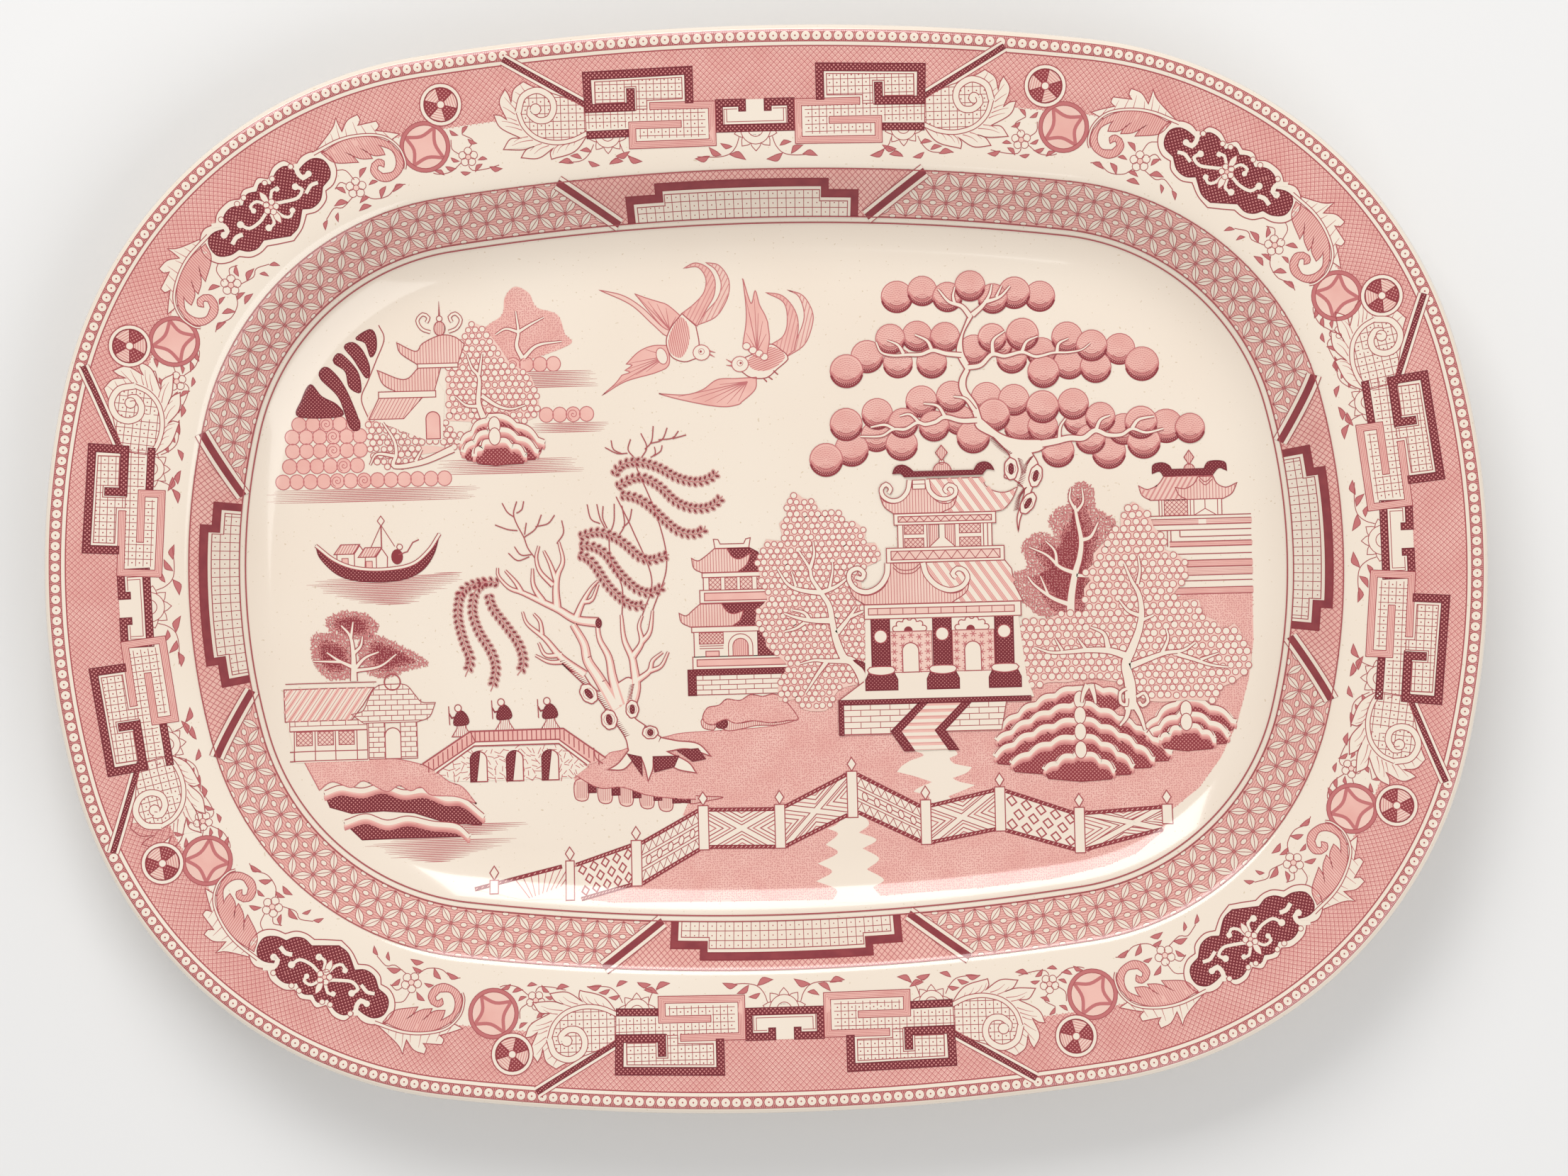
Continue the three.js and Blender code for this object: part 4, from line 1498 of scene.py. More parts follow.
def draw_small_pagoda(pen):
    pen.form([(-15, 9), (-13.7, 8.9), (-13.1, 7.6), (-6.3, 7.6), (-5.7, 8.9), (-4.4, 9.2), (-4.9, 6.4),
              (-14.6, 6.4)],
             "ivory", 0.28, curved=False)
    for top, dark in (
        ([[(-21.4, 3.7), (-19.6, 2.9), (-17.4, 4.2), (-14.8, 6.3)], [(-14.8, 6.3), (-11.2, 6.3)],
          [(-11.2, 6.3), (-9.8, 4), (-7.6, 3.2), (-4.4, 4.8)], [(-4.4, 4.8), (-5.6, 1.6), (-8.3, -0.5)],
          [(-8.3, -0.5), (-18.5, -0.5)],
          [(-18.5, -0.5), (-20.8, 0.8), (-21.4, 3.7)]],
         [(-11.2, 6.3), (-4.6, 6.3), (-2.3, 5), (-1.4, -0.7), (-8.3, -0.7), (-5.5, 1.7), (-4, 4.6),
          (-6, 3.6), (-8, 3.2), (-10, 4.4)]),
        ([[(-25.4, -12), (-23.4, -12.8), (-21.4, -11.2), (-19.3, -9.5)], [(-19.3, -9.5), (-13.2, -9.5)],
          [(-13.2, -9.5), (-11.6, -11.8), (-9.5, -12.5), (-6.9, -11.6)],
          [(-6.9, -11.6), (-8, -14.4), (-10.2, -16)],
          [(-10.2, -16), (-22.3, -16)], [(-22.3, -16), (-24.8, -14.6), (-25.4, -12)]],
         [(-13.2, -9.5), (1, -9.5), (1.4, -16.2), (-10, -16.2), (-8, -14.3), (-6.9, -11.6), (-9.5, -12.5),
          (-11.6, -11.8)]),
    ):
        crossed(pen, dark, 0.75, 0.42)
        striped(pen.up(3), pieced(*top), 90, 0.8)
    for x0, y0, x1, y1 in ((-18.5, -1.9, 0, -0.6), (-19.3, -9.3, 1, -5.6), (-21.9, -17.6, 3, -16.1),
                           (-21.8, -28.3, 6, -24.7)):
        plank(pen.up(4), x0, y0, x1, y1)
    plank(pen.up(5), -18, -8.6, 1, -6.4, "pale")
    plank(pen.up(5), -20.6, -27.4, 6, -25.5, "pale")
    plank(pen.up(4), -18.2, -5.6, 0, -1.9)
    for x in (-16.6, -12, -7.6, -2.8):
        lattice_window(pen.up(5), x, -5.5, x + 3.4, -2)
    plank(pen.up(4), -21.3, -24.7, 4, -17.6)
    lattice_window(pen.up(5), -19.8, -21, -12.9, -17.8, 0.75)
    for y in (-21.6, -22.3):
        pen.up(5).line([(-19.8, y), (-12.9, y)], 0.25)
    plank(pen.up(5), -18, -24.6, -14.2, -23.1, "pale")
    for half, fill in ((3.5, "ivory"), (2.2, "pale")):
        door = np.concatenate([[(-8, -24.6)], [(-8 - half, -24.6)], arc((-8, -21.8), half, 180, 0),
                               [(-8 + half, -24.6)]])
        pen.up(5 if half > 3 else 7).form(door, fill, 0.25, curved=False)
    pen.up(9).hatch(np.concatenate([arc((-8, -21.8), 2.2, 180, 0), [(-5.8, -24.6), (-10.2, -24.6)]]), 90,
                    0.6, 0.15, "mid")
    crossed(pen.up(5), box(-3, -24.6, 5, -17.7), 0.75, 0.4)
    crossed(pen.up(5), box(-23.3, -30, 7, -28.4), 0.7, 0.46)
    crossed(pen.up(5), box(-23.3, -35.7, -21, -28.4), 0.7, 0.46)
    bricks(pen.up(5), box(-21, -35.6, 7, -30), 1.4, 4.9)


def draw_pavilion(pen):
    """The small pavilion on the right, above its long walls."""
    for y0, y1, x0, fill in ((9.7, 11.3, 110, "blush"), (3.4, 4.8, 116, "pale"), (-2.4, -0.6, 112, "pale"),
                             (-4.8, -2.7, 112, "blush"), (-10.3, -8.5, 112, "pale")):
        band = box(x0, y0, 139.6, y1)
        pen.area(band, fill)
        pen.up(1).hatch(band, 0, 0.45, 0.15, "soft")
    pen.up(2).area(box(124.4, 9.5, 126.6, 11.5), "ivory")
    for y, x0 in ((12.3, 108), (11.3, 110), (9.7, 110), (8.1, 108), (6.2, 119), (4.8, 116), (3.4, 116),
                  (1.2, 113), (-0.6, 112),
                  (-2.5, 112), (-4.9, 112), (-6.5, 112), (-8.5, 112), (-10.3, 112)):
        pen.up(3).line([(x0, y), (139.4, y)], 0.28)
    for points in ([(115.4, 8), (115.4, 3.4)], [(116.4, 8), (116.4, 4.8)], [(119, 8), (119, 6.2)]):
        pen.up(3).line(points, 0.28)
    plank(pen.up(4), 113.2, 12.3, 131.2, 16.9)
    lattice_window(pen.up(5), 114.7, 12.4, 121.4, 16.8)
    for points in ([(122.2, 12.3), (122.2, 16.8)], [(123.2, 12.3), (126.4, 14.2), (129.6, 12.3)],
                   [(126.4, 14.2), (126.4, 16.8)],
                   [(123.2, 12.3), (123.2, 16.8)], [(130, 12.3), (130, 16.8)], [(114, 12.3), (114, 16.8)]):
        pen.up(5).line(points, 0.25)
    roof = pieced([(107.5, 21.1), (110, 20), (113, 21.3), (114.8, 23.6)], [(114.8, 23.6), (128.8, 23.6)],
                  [(128.8, 23.6), (130, 21.2), (132.6, 20.1), (135.6, 21.3)],
                  [(135.6, 21.3), (134.2, 18.4), (131.6, 16.9)],
                  [(131.6, 16.9), (110.8, 16.9)], [(110.8, 16.9), (108.4, 18.4), (107.5, 21.1)])
    pen.up(5).form(roof, "blush", 0.3, curved=False)
    pen.up(6).hatch(roof, 60, 1.3, 0.5, "soft")
    gable = pieced([(118, 20.4), (120.8, 20), (123.4, 21.4), (124.6, 23.4)], [(124.6, 23.4), (128.8, 23.4)],
                   [(128.8, 23.4), (130, 21.2), (132.6, 20.1), (135.6, 21.3)],
                   [(135.6, 21.3), (134.2, 18.4), (131.6, 16.9)],
                   [(131.6, 16.9), (121.2, 16.9)], [(121.2, 16.9), (119, 18.2), (118, 20.4)])
    striped(pen.up(8), gable, 90, 0.9)
    for drop in (0, 0.9):
        pen.up(10).curve([(124.8, 23.4 - drop), (126.6, 21.8 - drop), (128.6, 23.4 - drop)], 0.24)
    ridge = pieced([(111.5, 24.6), (111.8, 27), (114.4, 27.6), (116.4, 26.7), (117, 25.6)],
                   [(117, 25.6), (126.4, 25.6)],
                   [(126.4, 25.6), (127.4, 27.4), (130, 27.8), (132.4, 27.2), (132.8, 25)],
                   [(132.8, 25), (130.6, 25.8), (128.8, 23.9)],
                   [(128.8, 23.9), (114.6, 23.9)], [(114.6, 23.9), (113.6, 25.2), (111.5, 24.6)])
    crossed(pen.up(11), ridge, 0.7, 0.5)
    striped(pen.up(9), arc((122.1, 25.6), 1.5, 0, 180), 90, 0.5)
    striped(pen.up(9), [(122.1, 31), (123.5, 29), (122.1, 26.9), (120.7, 29)], 90, 0.5)


def make_buildings():
    for name, drawing, level in (("print_tea_house", draw_great_pagoda, 41.5),
                                 ("print_small_pagoda", draw_small_pagoda, 8.5),
                                 ("print_pavilion", draw_pavilion, 3.5)):
        art = Artwork(name)
        drawing(Pen(art, None, level))
        lay(art)


# ------------------------------------------------------------------ landscape: trees
FRUIT = (  # middle and radius of the round clusters on the great tree, back to front
    (39.5, 77.2, 4.5), (46.8, 78.7, 4.2), (54, 76.8, 4.2), (67, 76, 4.2), (60.5, 79.8, 4.3),
    (80.5, 76.3, 4.3),
    (73.2, 77.5, 4.5), (30.5, 60.3, 4.6), (24.5, 56.3, 4.7), (37.3, 65.2, 4.2), (39.3, 58.2, 4.2),
    (45, 65.8, 4.3),
    (49, 58, 4.3), (53, 65.3, 4.2), (66.5, 64.8, 4.0), (61.2, 61.4, 4.3), (72, 58.8, 4.3), (69, 62.4, 3.2),
    (75.2, 65.5, 4.6),
    (81, 54.6, 4.5), (80.6, 60.2, 4.2), (88.4, 56.8, 4.4), (88, 64.3, 4.4), (96, 55.6, 4.4),
    (95, 61.8, 4.4), (103, 60.6, 4.4),
    (109.3, 56.2, 4.8), (25.4, 33.8, 4.8), (18, 31, 4.7), (24, 41, 4.6), (32.6, 37.4, 4.4), (33, 43.8, 4.4),
    (39.8, 34.8, 4.5),
    (40.4, 41, 4.2), (49.2, 39.9, 4.3), (45.8, 47, 4.5), (56.6, 41.4, 4.2), (54.5, 48.2, 4.4),
    (60.4, 36.6, 4.7),
    (66.4, 42.6, 4.6), (64.5, 47.6, 4.4), (74, 39.2, 4.6), (72.3, 46.8, 4.4), (80.4, 38.8, 4.3),
    (80.5, 44.6, 4.6),
    (90.6, 40.4, 4.1), (89.3, 45.2, 4.4), (84.6, 31.8, 4.6), (94, 35, 4.2), (97, 41.2, 4.2),
    (99.2, 31.2, 4.8),
    (103.6, 37.6, 4.4), (109.3, 33.8, 4.7), (108.6, 39.4, 4.6), (122.6, 37.4, 4.2), (115.8, 38.2, 4.8),
)


def draw_cluster(pen, centre, radius):
    """A round cluster: a pale stippled ball, shaded along its lower edge."""
    ball = oval(centre, radius, radius, 0, 22)
    pen.area(ball, "pale")
    spots = []
    for ring in np.arange(0.6, radius - 0.4, 0.62):
        for degrees in np.arange(0, 360, 38 / ring):
            spots.append(polar(centre, ring, degrees + ring * 40))
    spots = np.array(spots)[:, None]
    tick = np.array([[-0.25, -0.1], [0.25, -0.1], [0.25, 0.1], [-0.25, 0.1]])
    pen.art.quads.append((pen.level + 1, "soft", spots + tick))
    for rise, ink in ((0.5, "rose"), (0.26, "wine")):
        low = arc(centre, radius, 190, 350, 14)
        middle = np.array(centre) + [0, radius * rise]
        high = arc(middle, radius * (1 + 0.02), 350 - 8 * rise * 4, 190 + 8 * rise * 4, 14)
        high[:, 1] = np.maximum(high[:, 1], np.interp(high[:, 0], low[:, 0], low[:, 1]) + 0.02)
        crescent = np.concatenate([low, high])
        pen.up(2 if ink == "rose" else 3).area(crescent, ink)
    for inset, size, ink in ((0.45, 0.13, "pale"), (0.9, 0.14, "pale"), (1.35, 0.17, "wine"),
                             (1.9, 0.17, "wine"),
                             (2.5, 0.13, "rose"), (3.1, 0.12, "rose")):
        for degrees in np.arange(207 + inset * 9, 335 - inset * 9, 9):
            pen.up(4).disc(polar(centre, radius - inset, degrees), size, ink, 4)
    pen.up(4).line(ball, 0.26, "mid", closed=True)
    pen.up(5).line(arc(centre, radius, 195, 345, 16), 0.42, "dark")


def draw_great_tree(pen):
    for index, (x, y, radius) in enumerate(FRUIT):
        draw_cluster(pen.up(6 * (index % 5)), (x, y), radius)
    wood = pen.up(31)
    trunk = pieced(
        [(72.6, 9), (72.4, 13), (73.6, 17), (74.6, 21), (71.6, 24), (69, 24.6), (70, 27.4)],
        [(70, 27.4), (70.6, 31), (66, 36.2)],
        [(66, 36.2), (61.4, 39), (60.6, 42.6), (58.6, 46.6), (56.8, 50), (56.8, 53), (58.4, 56)],
        [(58.4, 56), (56.6, 59.4), (56.4, 63), (59.8, 71.4)], [(59.8, 71.4), (61.4, 71.4)],
        [(61.4, 71.4), (58.4, 66), (58.2, 61), (60, 56.6), (58.8, 53), (59, 50), (61.6, 46), (63, 41.6)],
        [(63, 41.6), (68, 37.4), (73, 35.6), (79.4, 35.2)],
        [(79.4, 35.2), (82, 34), (79.6, 32), (77.2, 31.4)],
        [(77.2, 31.4), (78.8, 28), (78, 24), (76, 19), (73.4, 13), (72.6, 9)],
    )
    wood.form(trunk, "ivory", 0.35, curved=False)
    limbs(wood.up(1),
          ([(61.6, 41.2), (57, 41.2), (52.4, 42.4), (49.6, 41), (46.6, 40.4), (44.4, 41), (41, 39.2),
            (37.4, 39.2), (34, 37.4), (28, 37.4)], 1.3, 0.4),
          ([(52.4, 42.6), (50.4, 45.6), (46.4, 46.4)], 0.9, 0.4),
          ([(45, 41), (42.4, 43.4), (39.4, 43)], 0.8, 0.4),
          ([(37.6, 39.4), (35, 40.6), (31, 40)], 0.8, 0.4),
          ([(61, 44), (58.4, 47.4), (55, 48.2)], 1.1, 0.4),
          ([(80, 34), (84, 34.6), (88, 35.4), (92, 35.3), (95.4, 37.4), (99, 36), (103, 36), (106, 37.6),
            (110, 36.4), (115, 37.4)], 1.8, 0.4),
          ([(85, 34.8), (85.4, 38.6), (87, 41)], 0.9, 0.4),
          ([(95.6, 37.4), (97, 40.4), (99.8, 41.6)], 1.0, 0.4),
          ([(106, 37.8), (108, 40.2), (112.4, 41)], 1.0, 0.4),
          ([(57.6, 60), (53, 60.6), (49.4, 61.6), (46, 60.5), (42, 60.5), (38, 60.4), (34.6, 61.4),
            (33.2, 64.4)], 1.2, 0.4),
          ([(41, 60.8), (39.4, 63.4), (36.4, 64.8)], 0.9, 0.3),
          ([(49, 62), (47.8, 64.4), (44.4, 66.2)], 0.9, 0.4),
          ([(59.4, 56.4), (63, 57), (66.4, 60), (70, 59.4), (75, 60.4), (79, 59), (84, 60), (88, 60),
            (92, 60.6), (94.6, 62.4)], 1.2, 0.3),
          ([(66.6, 60), (66.8, 64), (70.2, 66.6)], 1.1, 0.3),
          ([(75, 60.6), (76.4, 63.4), (79.6, 64.8)], 0.9, 0.3),
          ([(85, 60.2), (85.6, 62.6), (88.4, 64)], 0.9, 0.3),
          ([(60.4, 71), (58, 74), (54.4, 75.4), (51.4, 79)], 1.3, 0.4),
          ([(56, 75), (55.6, 77), (56.2, 79.6)], 0.8, 0.3),
          ([(61, 71.4), (64, 74), (66, 77), (66.8, 80)], 1.3, 0.4),
          ([(64.6, 75), (69, 76.4), (72, 79.4)], 1.0, 0.4), ([(68, 76.4), (69.6, 79.6)], 0.7, 0.3))
    for edge, way in (([(66.4, 36.2), (69, 33.4), (71.4, 31.6)], -1),
                      ([(73, 30), (73.8, 26), (72.6, 22.4)], 1),
                      ([(77.6, 30.6), (76, 28.4), (75.2, 26)], -1),
                      ([(75.4, 21.6), (73.6, 19), (72.8, 15.6)], -1)):
        for spot in smooth(edge, step=0.45):
            wood.up(4).line([spot, spot + [way * 1.5, -0.7]], 0.3, "dark", to=0.06)
    for place, rx, ry, turn in (((71, 27), 1.9, 3.1, 0.0), ((78, 24.8), 1.8, 3.2, -0.25),
                                ((75.6, 17), 1.8, 3.3, -0.55)):
        knot(wood.up(5), place, rx, ry, turn, rx)


CROWN_LEFT = [
    (8.6, 21.8), (11, 20.2), (14.6, 19), (16, 16.4), (21.6, 16), (22.4, 13), (25.6, 13.2), (28.8, 9.6),
    (28, 6.6), (31.4, 6.8),
    (33, 2), (28.5, 0), (27, -3), (28, -10), (29, -16), (29.4, -28), (27, -33), (20, -35), (18, -38.4),
    (16, -41), (9.6, -40.6),
    (7.6, -37.4), (2.6, -38), (3, -32), (5.4, -28), (2.6, -25), (-0.6, -22), (-1, -18.4), (-3.6, -15.4),
    (-2.4, -11), (0, -8.6),
    (-1.4, -4), (-2.6, 2), (-1, 5), (0.2, 8.6), (5, 8), (4, 13), (6.4, 15), (6, 18.6),
]
CROWN_RIGHT = [
    (105.6, 16.6), (108, 15), (110.4, 12.6), (111.6, 9), (114.6, 6), (114.6, 2.6), (118.6, 1), (121, -3.4),
    (119, -7.6), (117, -9.6),
    (118, -12), (124, -12), (124.6, -16), (128.6, -18), (131, -21), (134, -19), (136.4, -23), (138.4, -27),
    (137.8, -32), (133, -36),
    (128, -38), (128.4, -41), (120, -40.6), (113, -41), (107, -40), (104, -36), (98, -34.6), (92, -33.6),
    (86, -34.6), (80, -34.6),
    (74, -36.6), (71, -33), (71, -29), (69.6, -24), (72.4, -20), (74, -16.6), (80, -16.4), (85, -14.6),
    (91, -14.4), (91, -8),
    (93, -5.6), (91.4, -3), (94, -1), (94, 2), (97, 5), (99, 8.4), (102, 9.4), (102, 12), (104, 14.6),
]
DARK_CROWN = [
    (80, -16), (74, -12), (70.6, -7), (71, -3), (75, -1.4), (73.4, 4), (76, 7.6), (80, 8.6), (83, 7),
    (81.4, 12), (84, 15.4),
    (87, 16.4), (87.6, 20.6), (91, 22.8), (94.4, 20.6), (95, 15.4), (98, 13.6), (100.6, 11), (99.6, 7),
    (97, 5), (95, 0),
    (94, -6), (92.6, -12), (90.6, -15.6),
]
DARK_CORE = [
    (83, -14.6), (78, -8), (76, -4.6), (80, -2.6), (77.6, 2.4), (79.6, 5.6), (84, 4.4), (85.4, 9.6),
    (88, 12), (88.6, 17),
    (91.6, 18), (93.4, 12), (95.4, 8.6), (94.6, 3.6), (93.4, -2), (92.6, -8), (91, -14.6),
]


def draw_left_tree(pen):
    foliage(pen, CROWN_LEFT, 0.93, 21)
    crossed(pen.up(5), smooth([(24.4, -26.8), (27, -27.4), (29.2, -29.4), (28.6, -30.6), (26.6, -28.8)],
                              True), 0.7, 0.46)
    limbs(pen.up(4),
          ([(27.4, -34.6), (26.4, -31), (24, -27.2), (21.6, -26), (19.6, -21), (18.6, -16), (17.8, -11),
            (15.7, -7.4), (13, -3),
            (12.4, 0), (9.4, 5)], 2.6, 0.5),
          ([(18.6, -15.2), (12.6, -15), (8, -14), (4.8, -12.8)], 1.7, 0.4),
          ([(12, -14.8), (10.6, -12.8), (7, -11.8)], 1.0, 0.4),
          ([(16, -7.2), (10, -6.3), (6, -4.4), (3.2, 0)], 1.4, 0.4), ([(8.4, -5.2), (7.2, -1)], 0.8, 0.3),
          ([(15.8, -7), (20, -5.4), (23.6, -2.8)], 1.2, 0.5), ([(18, -5.8), (19, -1), (19, 1.6)], 0.8, 0.3),
          ([(12.6, 0), (13.8, 4), (13.6, 7.6)], 1.0, 0.3),
          ([(19.8, -18.8), (23, -15), (25.6, -11.4)], 1.4, 0.5),
          ([(23.8, -14.2), (27.6, -12.8)], 0.9, 0.5),
          ([(24, -27), (17, -26.8), (13, -26.5), (9, -27.4)], 1.5, 0.3),
          ([(16.6, -27), (13.6, -31), (10.4, -35.8)], 1.2, 0.4),
          ([(10.6, -15.6), (8, -17.2), (4.8, -18)], 0.9, 0.4))


def draw_shadow_crown(pen, crown, core, seed):
    """Foliage in short strokes, thin at its edge and dark at its core."""
    stipple(pen, crown, seed, 2.6, "soft", 1.15, 0.25)
    stipple(pen.up(1), crown, seed + 1, 1.7, "mid", 1.3, 0.25)
    middle = core.mean(0)
    for rise, share, ink in ((2, 1.0, "tint"), (3, 0.9, "rose"), (4, 0.74, "wine")):
        wave = 1 + 0.05 * np.sin(np.arange(len(core)) * 1.3)[:, None]
        pen.up(rise).area(middle + (core - middle) * share * wave, ink)
    stipple(pen.up(5), core, seed + 2, 4.2, "dark", 0.62, 0.3)
    stipple(pen.up(6), core, seed + 3, 1.6, "soft", 0.7, 0.16)


def draw_dark_tree(pen):
    draw_shadow_crown(pen, smooth(DARK_CROWN, True), smooth(DARK_CORE, True), 31)
    limbs(pen.up(9),
          ([(87, -15.6), (87.4, -10), (88.6, -3.6), (90, 1), (90.6, 6), (89.6, 12), (89, 16)], 2.2, 0.7),
          ([(89, 15), (87.6, 18), (88, 21)], 0.8, 0.3), ([(89.6, 14.4), (91.4, 17), (91.2, 21)], 0.8, 0.3),
          ([(90.6, 6), (93.4, 7), (95.6, 11)], 1.1, 0.4),
          ([(88.6, -3.4), (84.4, -1.6), (80.6, 2), (75.6, 4.4)], 1.1, 0.3),
          ([(83.4, -1.2), (83, 3), (80.4, 6)], 0.9, 0.3),
          ([(87.4, -12.6), (82, -10.4), (77, -6.6), (75, -4)], 1.3, 0.4),
          ([(80.8, -9.6), (79.6, -6.4), (78.6, -4)], 0.7, 0.3),
          ([(89, -4), (92, -4.4), (95, -4.6)], 0.9, 0.4))


def draw_right_tree(pen):
    foliage(pen, CROWN_RIGHT, 1.08, 41)
    limbs(pen.up(4),
          ([(103.6, -43), (103.6, -36), (102.6, -30), (104.4, -25.6), (106.6, -20), (107.4, -15),
            (106.8, -10), (104.8, -6),
            (102.8, -1)], 3.4, 0.5),
          ([(106.4, -7), (107.2, -3), (106.8, 1)], 0.9, 0.4),
          ([(106.6, -16), (103.6, -14.6), (101, -11.4)], 1.1, 0.4),
          ([(107, -17.6), (110, -16.4), (110.8, -16)], 1.0, 0.5),
          ([(102.8, -27.6), (98, -26), (92, -25.6), (86, -26), (81, -26), (76.4, -24.4)], 1.9, 0.4),
          ([(84.4, -25.6), (82.4, -22)], 0.8, 0.3), ([(91, -25.2), (88.8, -22)], 0.9, 0.3),
          ([(97.6, -25.2), (96.4, -21), (92.6, -19)], 1.4, 0.4),
          ([(103.6, -30.6), (109, -28.6), (114, -27), (119, -26.4), (122.6, -24.2)], 1.7, 0.5),
          ([(113, -27), (114.8, -23), (114.4, -20)], 1.0, 0.4),
          ([(117.4, -27.4), (122, -29), (127, -30.8), (132, -31.6)], 1.2, 0.4),
          ([(124, -29.2), (127, -28.2), (129.4, -27.4)], 0.8, 0.3),
          ([(103.2, -41), (102.4, -45), (100.4, -47.6)], 1.7, 0.5),
          ([(104.4, -41), (106.4, -45), (107.6, -49)], 1.7, 0.6),
          ([(91.4, -35.6), (90.2, -38), (89.6, -40.6)], 1.6, 0.5),
          ([(92.4, -35.6), (93.2, -38.6), (93.6, -41)], 1.6, 0.5))
    for curl in ([(102.6, -37), (100.8, -38), (100.8, -41), (102.4, -41.6), (102.6, -39.8)],
                 [(105.4, -39.4), (107.6, -38.4), (108.6, -40.8), (107, -42), (106, -40.8)]):
        scroll(pen.up(7), curl, 0.8)


def draw_ridge(pen, edge):
    """The light crest of a rock shelf, which shades into the dark below it."""
    for drop, width, ink in ((1.7, 1.0, "rose"), (1.2, 0.9, "tint"), (0.8, 0.8, "pale"),
                             (0.0, 1.5, "ivory")):
        pen.up(3.5 - drop).line(edge - [0, drop], width, ink)
    pen.up(4).line(edge + [0, 0.75], 0.28, "line")


def draw_rocks(pen, axis, tops, wings, seed):
    """A pile of waved rock shelves that fall away to both sides of an axis of light stones."""
    rng = np.random.default_rng(seed)
    for k, (top, (left, right)) in enumerate(zip(tops, wings)):
        shelf = []
        for start, stop in ((left, (axis - 1.2, top)), ((axis + 1.2, top), right)):
            t = np.linspace(0, 1, 41)[:, None]
            start, stop = np.array(start, float), np.array(stop, float)
            normal = np.array([-(stop - start)[1], (stop - start)[0]])
            reach = np.linalg.norm(normal)
            waves = max(2, int(reach / 5.2))
            lumps = np.abs(np.sin(math.pi * (waves * t + rng.uniform(0, 0.3))))
            swing = 0.9 * lumps + 0.055 * reach * np.sin(math.pi * t)
            shelf.append(start + (stop - start) * t + normal / reach * swing)
        edge = np.concatenate(shelf)
        base = [(right[0] - 1, right[1] - 2), (axis, min(left[1], right[1]) - 2.5),
                (left[0] + 1, left[1] - 2)]
        crossed(pen, np.concatenate([edge, base]), 0.8, 0.4, "dark")
        draw_ridge(pen, edge)
        if k:
            pen.up(5).form(oval((axis, top + 1.4), 1.7, 2.5), "ivory", 0.25, curved=False)
        pen = pen.up(5)


def draw_right_rocks(pen):
    draw_rocks(pen, 89, (-36.6, -41.2, -45.7, -50.4, -55.6), (
        ((66.2, -47.4), (102, -39.5)), ((65, -51.4), (115, -56)), ((64.2, -55.6), (110, -57.8)),
        ((69, -58), (104, -59.6)), ((78.5, -60.2), (98.6, -60.8))), 3)
    draw_rocks(pen, 119.5, (-40.8, -44.8, -48.4), (
        ((107.6, -49.6), (133.6, -47.6)), ((108.4, -51.2), (131.6, -51.4)), ((112, -52.4), (127.8, -52.8))),
        4)


def make_trees():
    for name, drawing, level in (
        ("print_dark_tree", draw_dark_tree, 12), ("print_left_tree", draw_left_tree, 24),
        ("print_great_tree", draw_great_tree, 1), ("print_right_rocks", draw_right_rocks, 10),
        ("print_right_tree", draw_right_tree, 35), ("print_willow", draw_willow, 10.5),
        ("print_bridge", draw_bridge, 12), ("print_gate", draw_gate, 4.5), ("print_boat", draw_boat, 6),
        ("print_island", draw_island, 4), ("print_birds", draw_birds, 4),
        ("print_water_tree", draw_water_tree, 14),
    ):
        art = Artwork(name)
        drawing(Pen(art, None, level))
        lay(art)


# ------------------------------------------------------------------ landscape: the willow
def frond(pen, points):
    """A hanging spray of small paired leaves."""
    points = smooth(points)
    pen.line(points, 0.24, "mid")
    run = np.concatenate([[0], np.cumsum(np.linalg.norm(np.diff(points, axis=0), axis=1))])
    spots = np.stack([np.interp(np.arange(0, run[-1], 1.6), run, points[:, k]) for k in (0, 1)], 1)
    for spot, step in zip(spots[:-1], np.diff(spots, axis=0)):
        heading = math.atan2(step[1], step[0])
        for side in (-1, 1):
            turn = heading + side * 0.85
            middle = spot + 1.05 * np.array([math.cos(turn), math.sin(turn)])
            pen.up(1).line(oval(middle, 0.88, 0.6, turn, 9), 0.15, "soft", closed=True)
            pen.up(2).area(oval(middle, 0.62, 0.34, turn, 7), "dark")


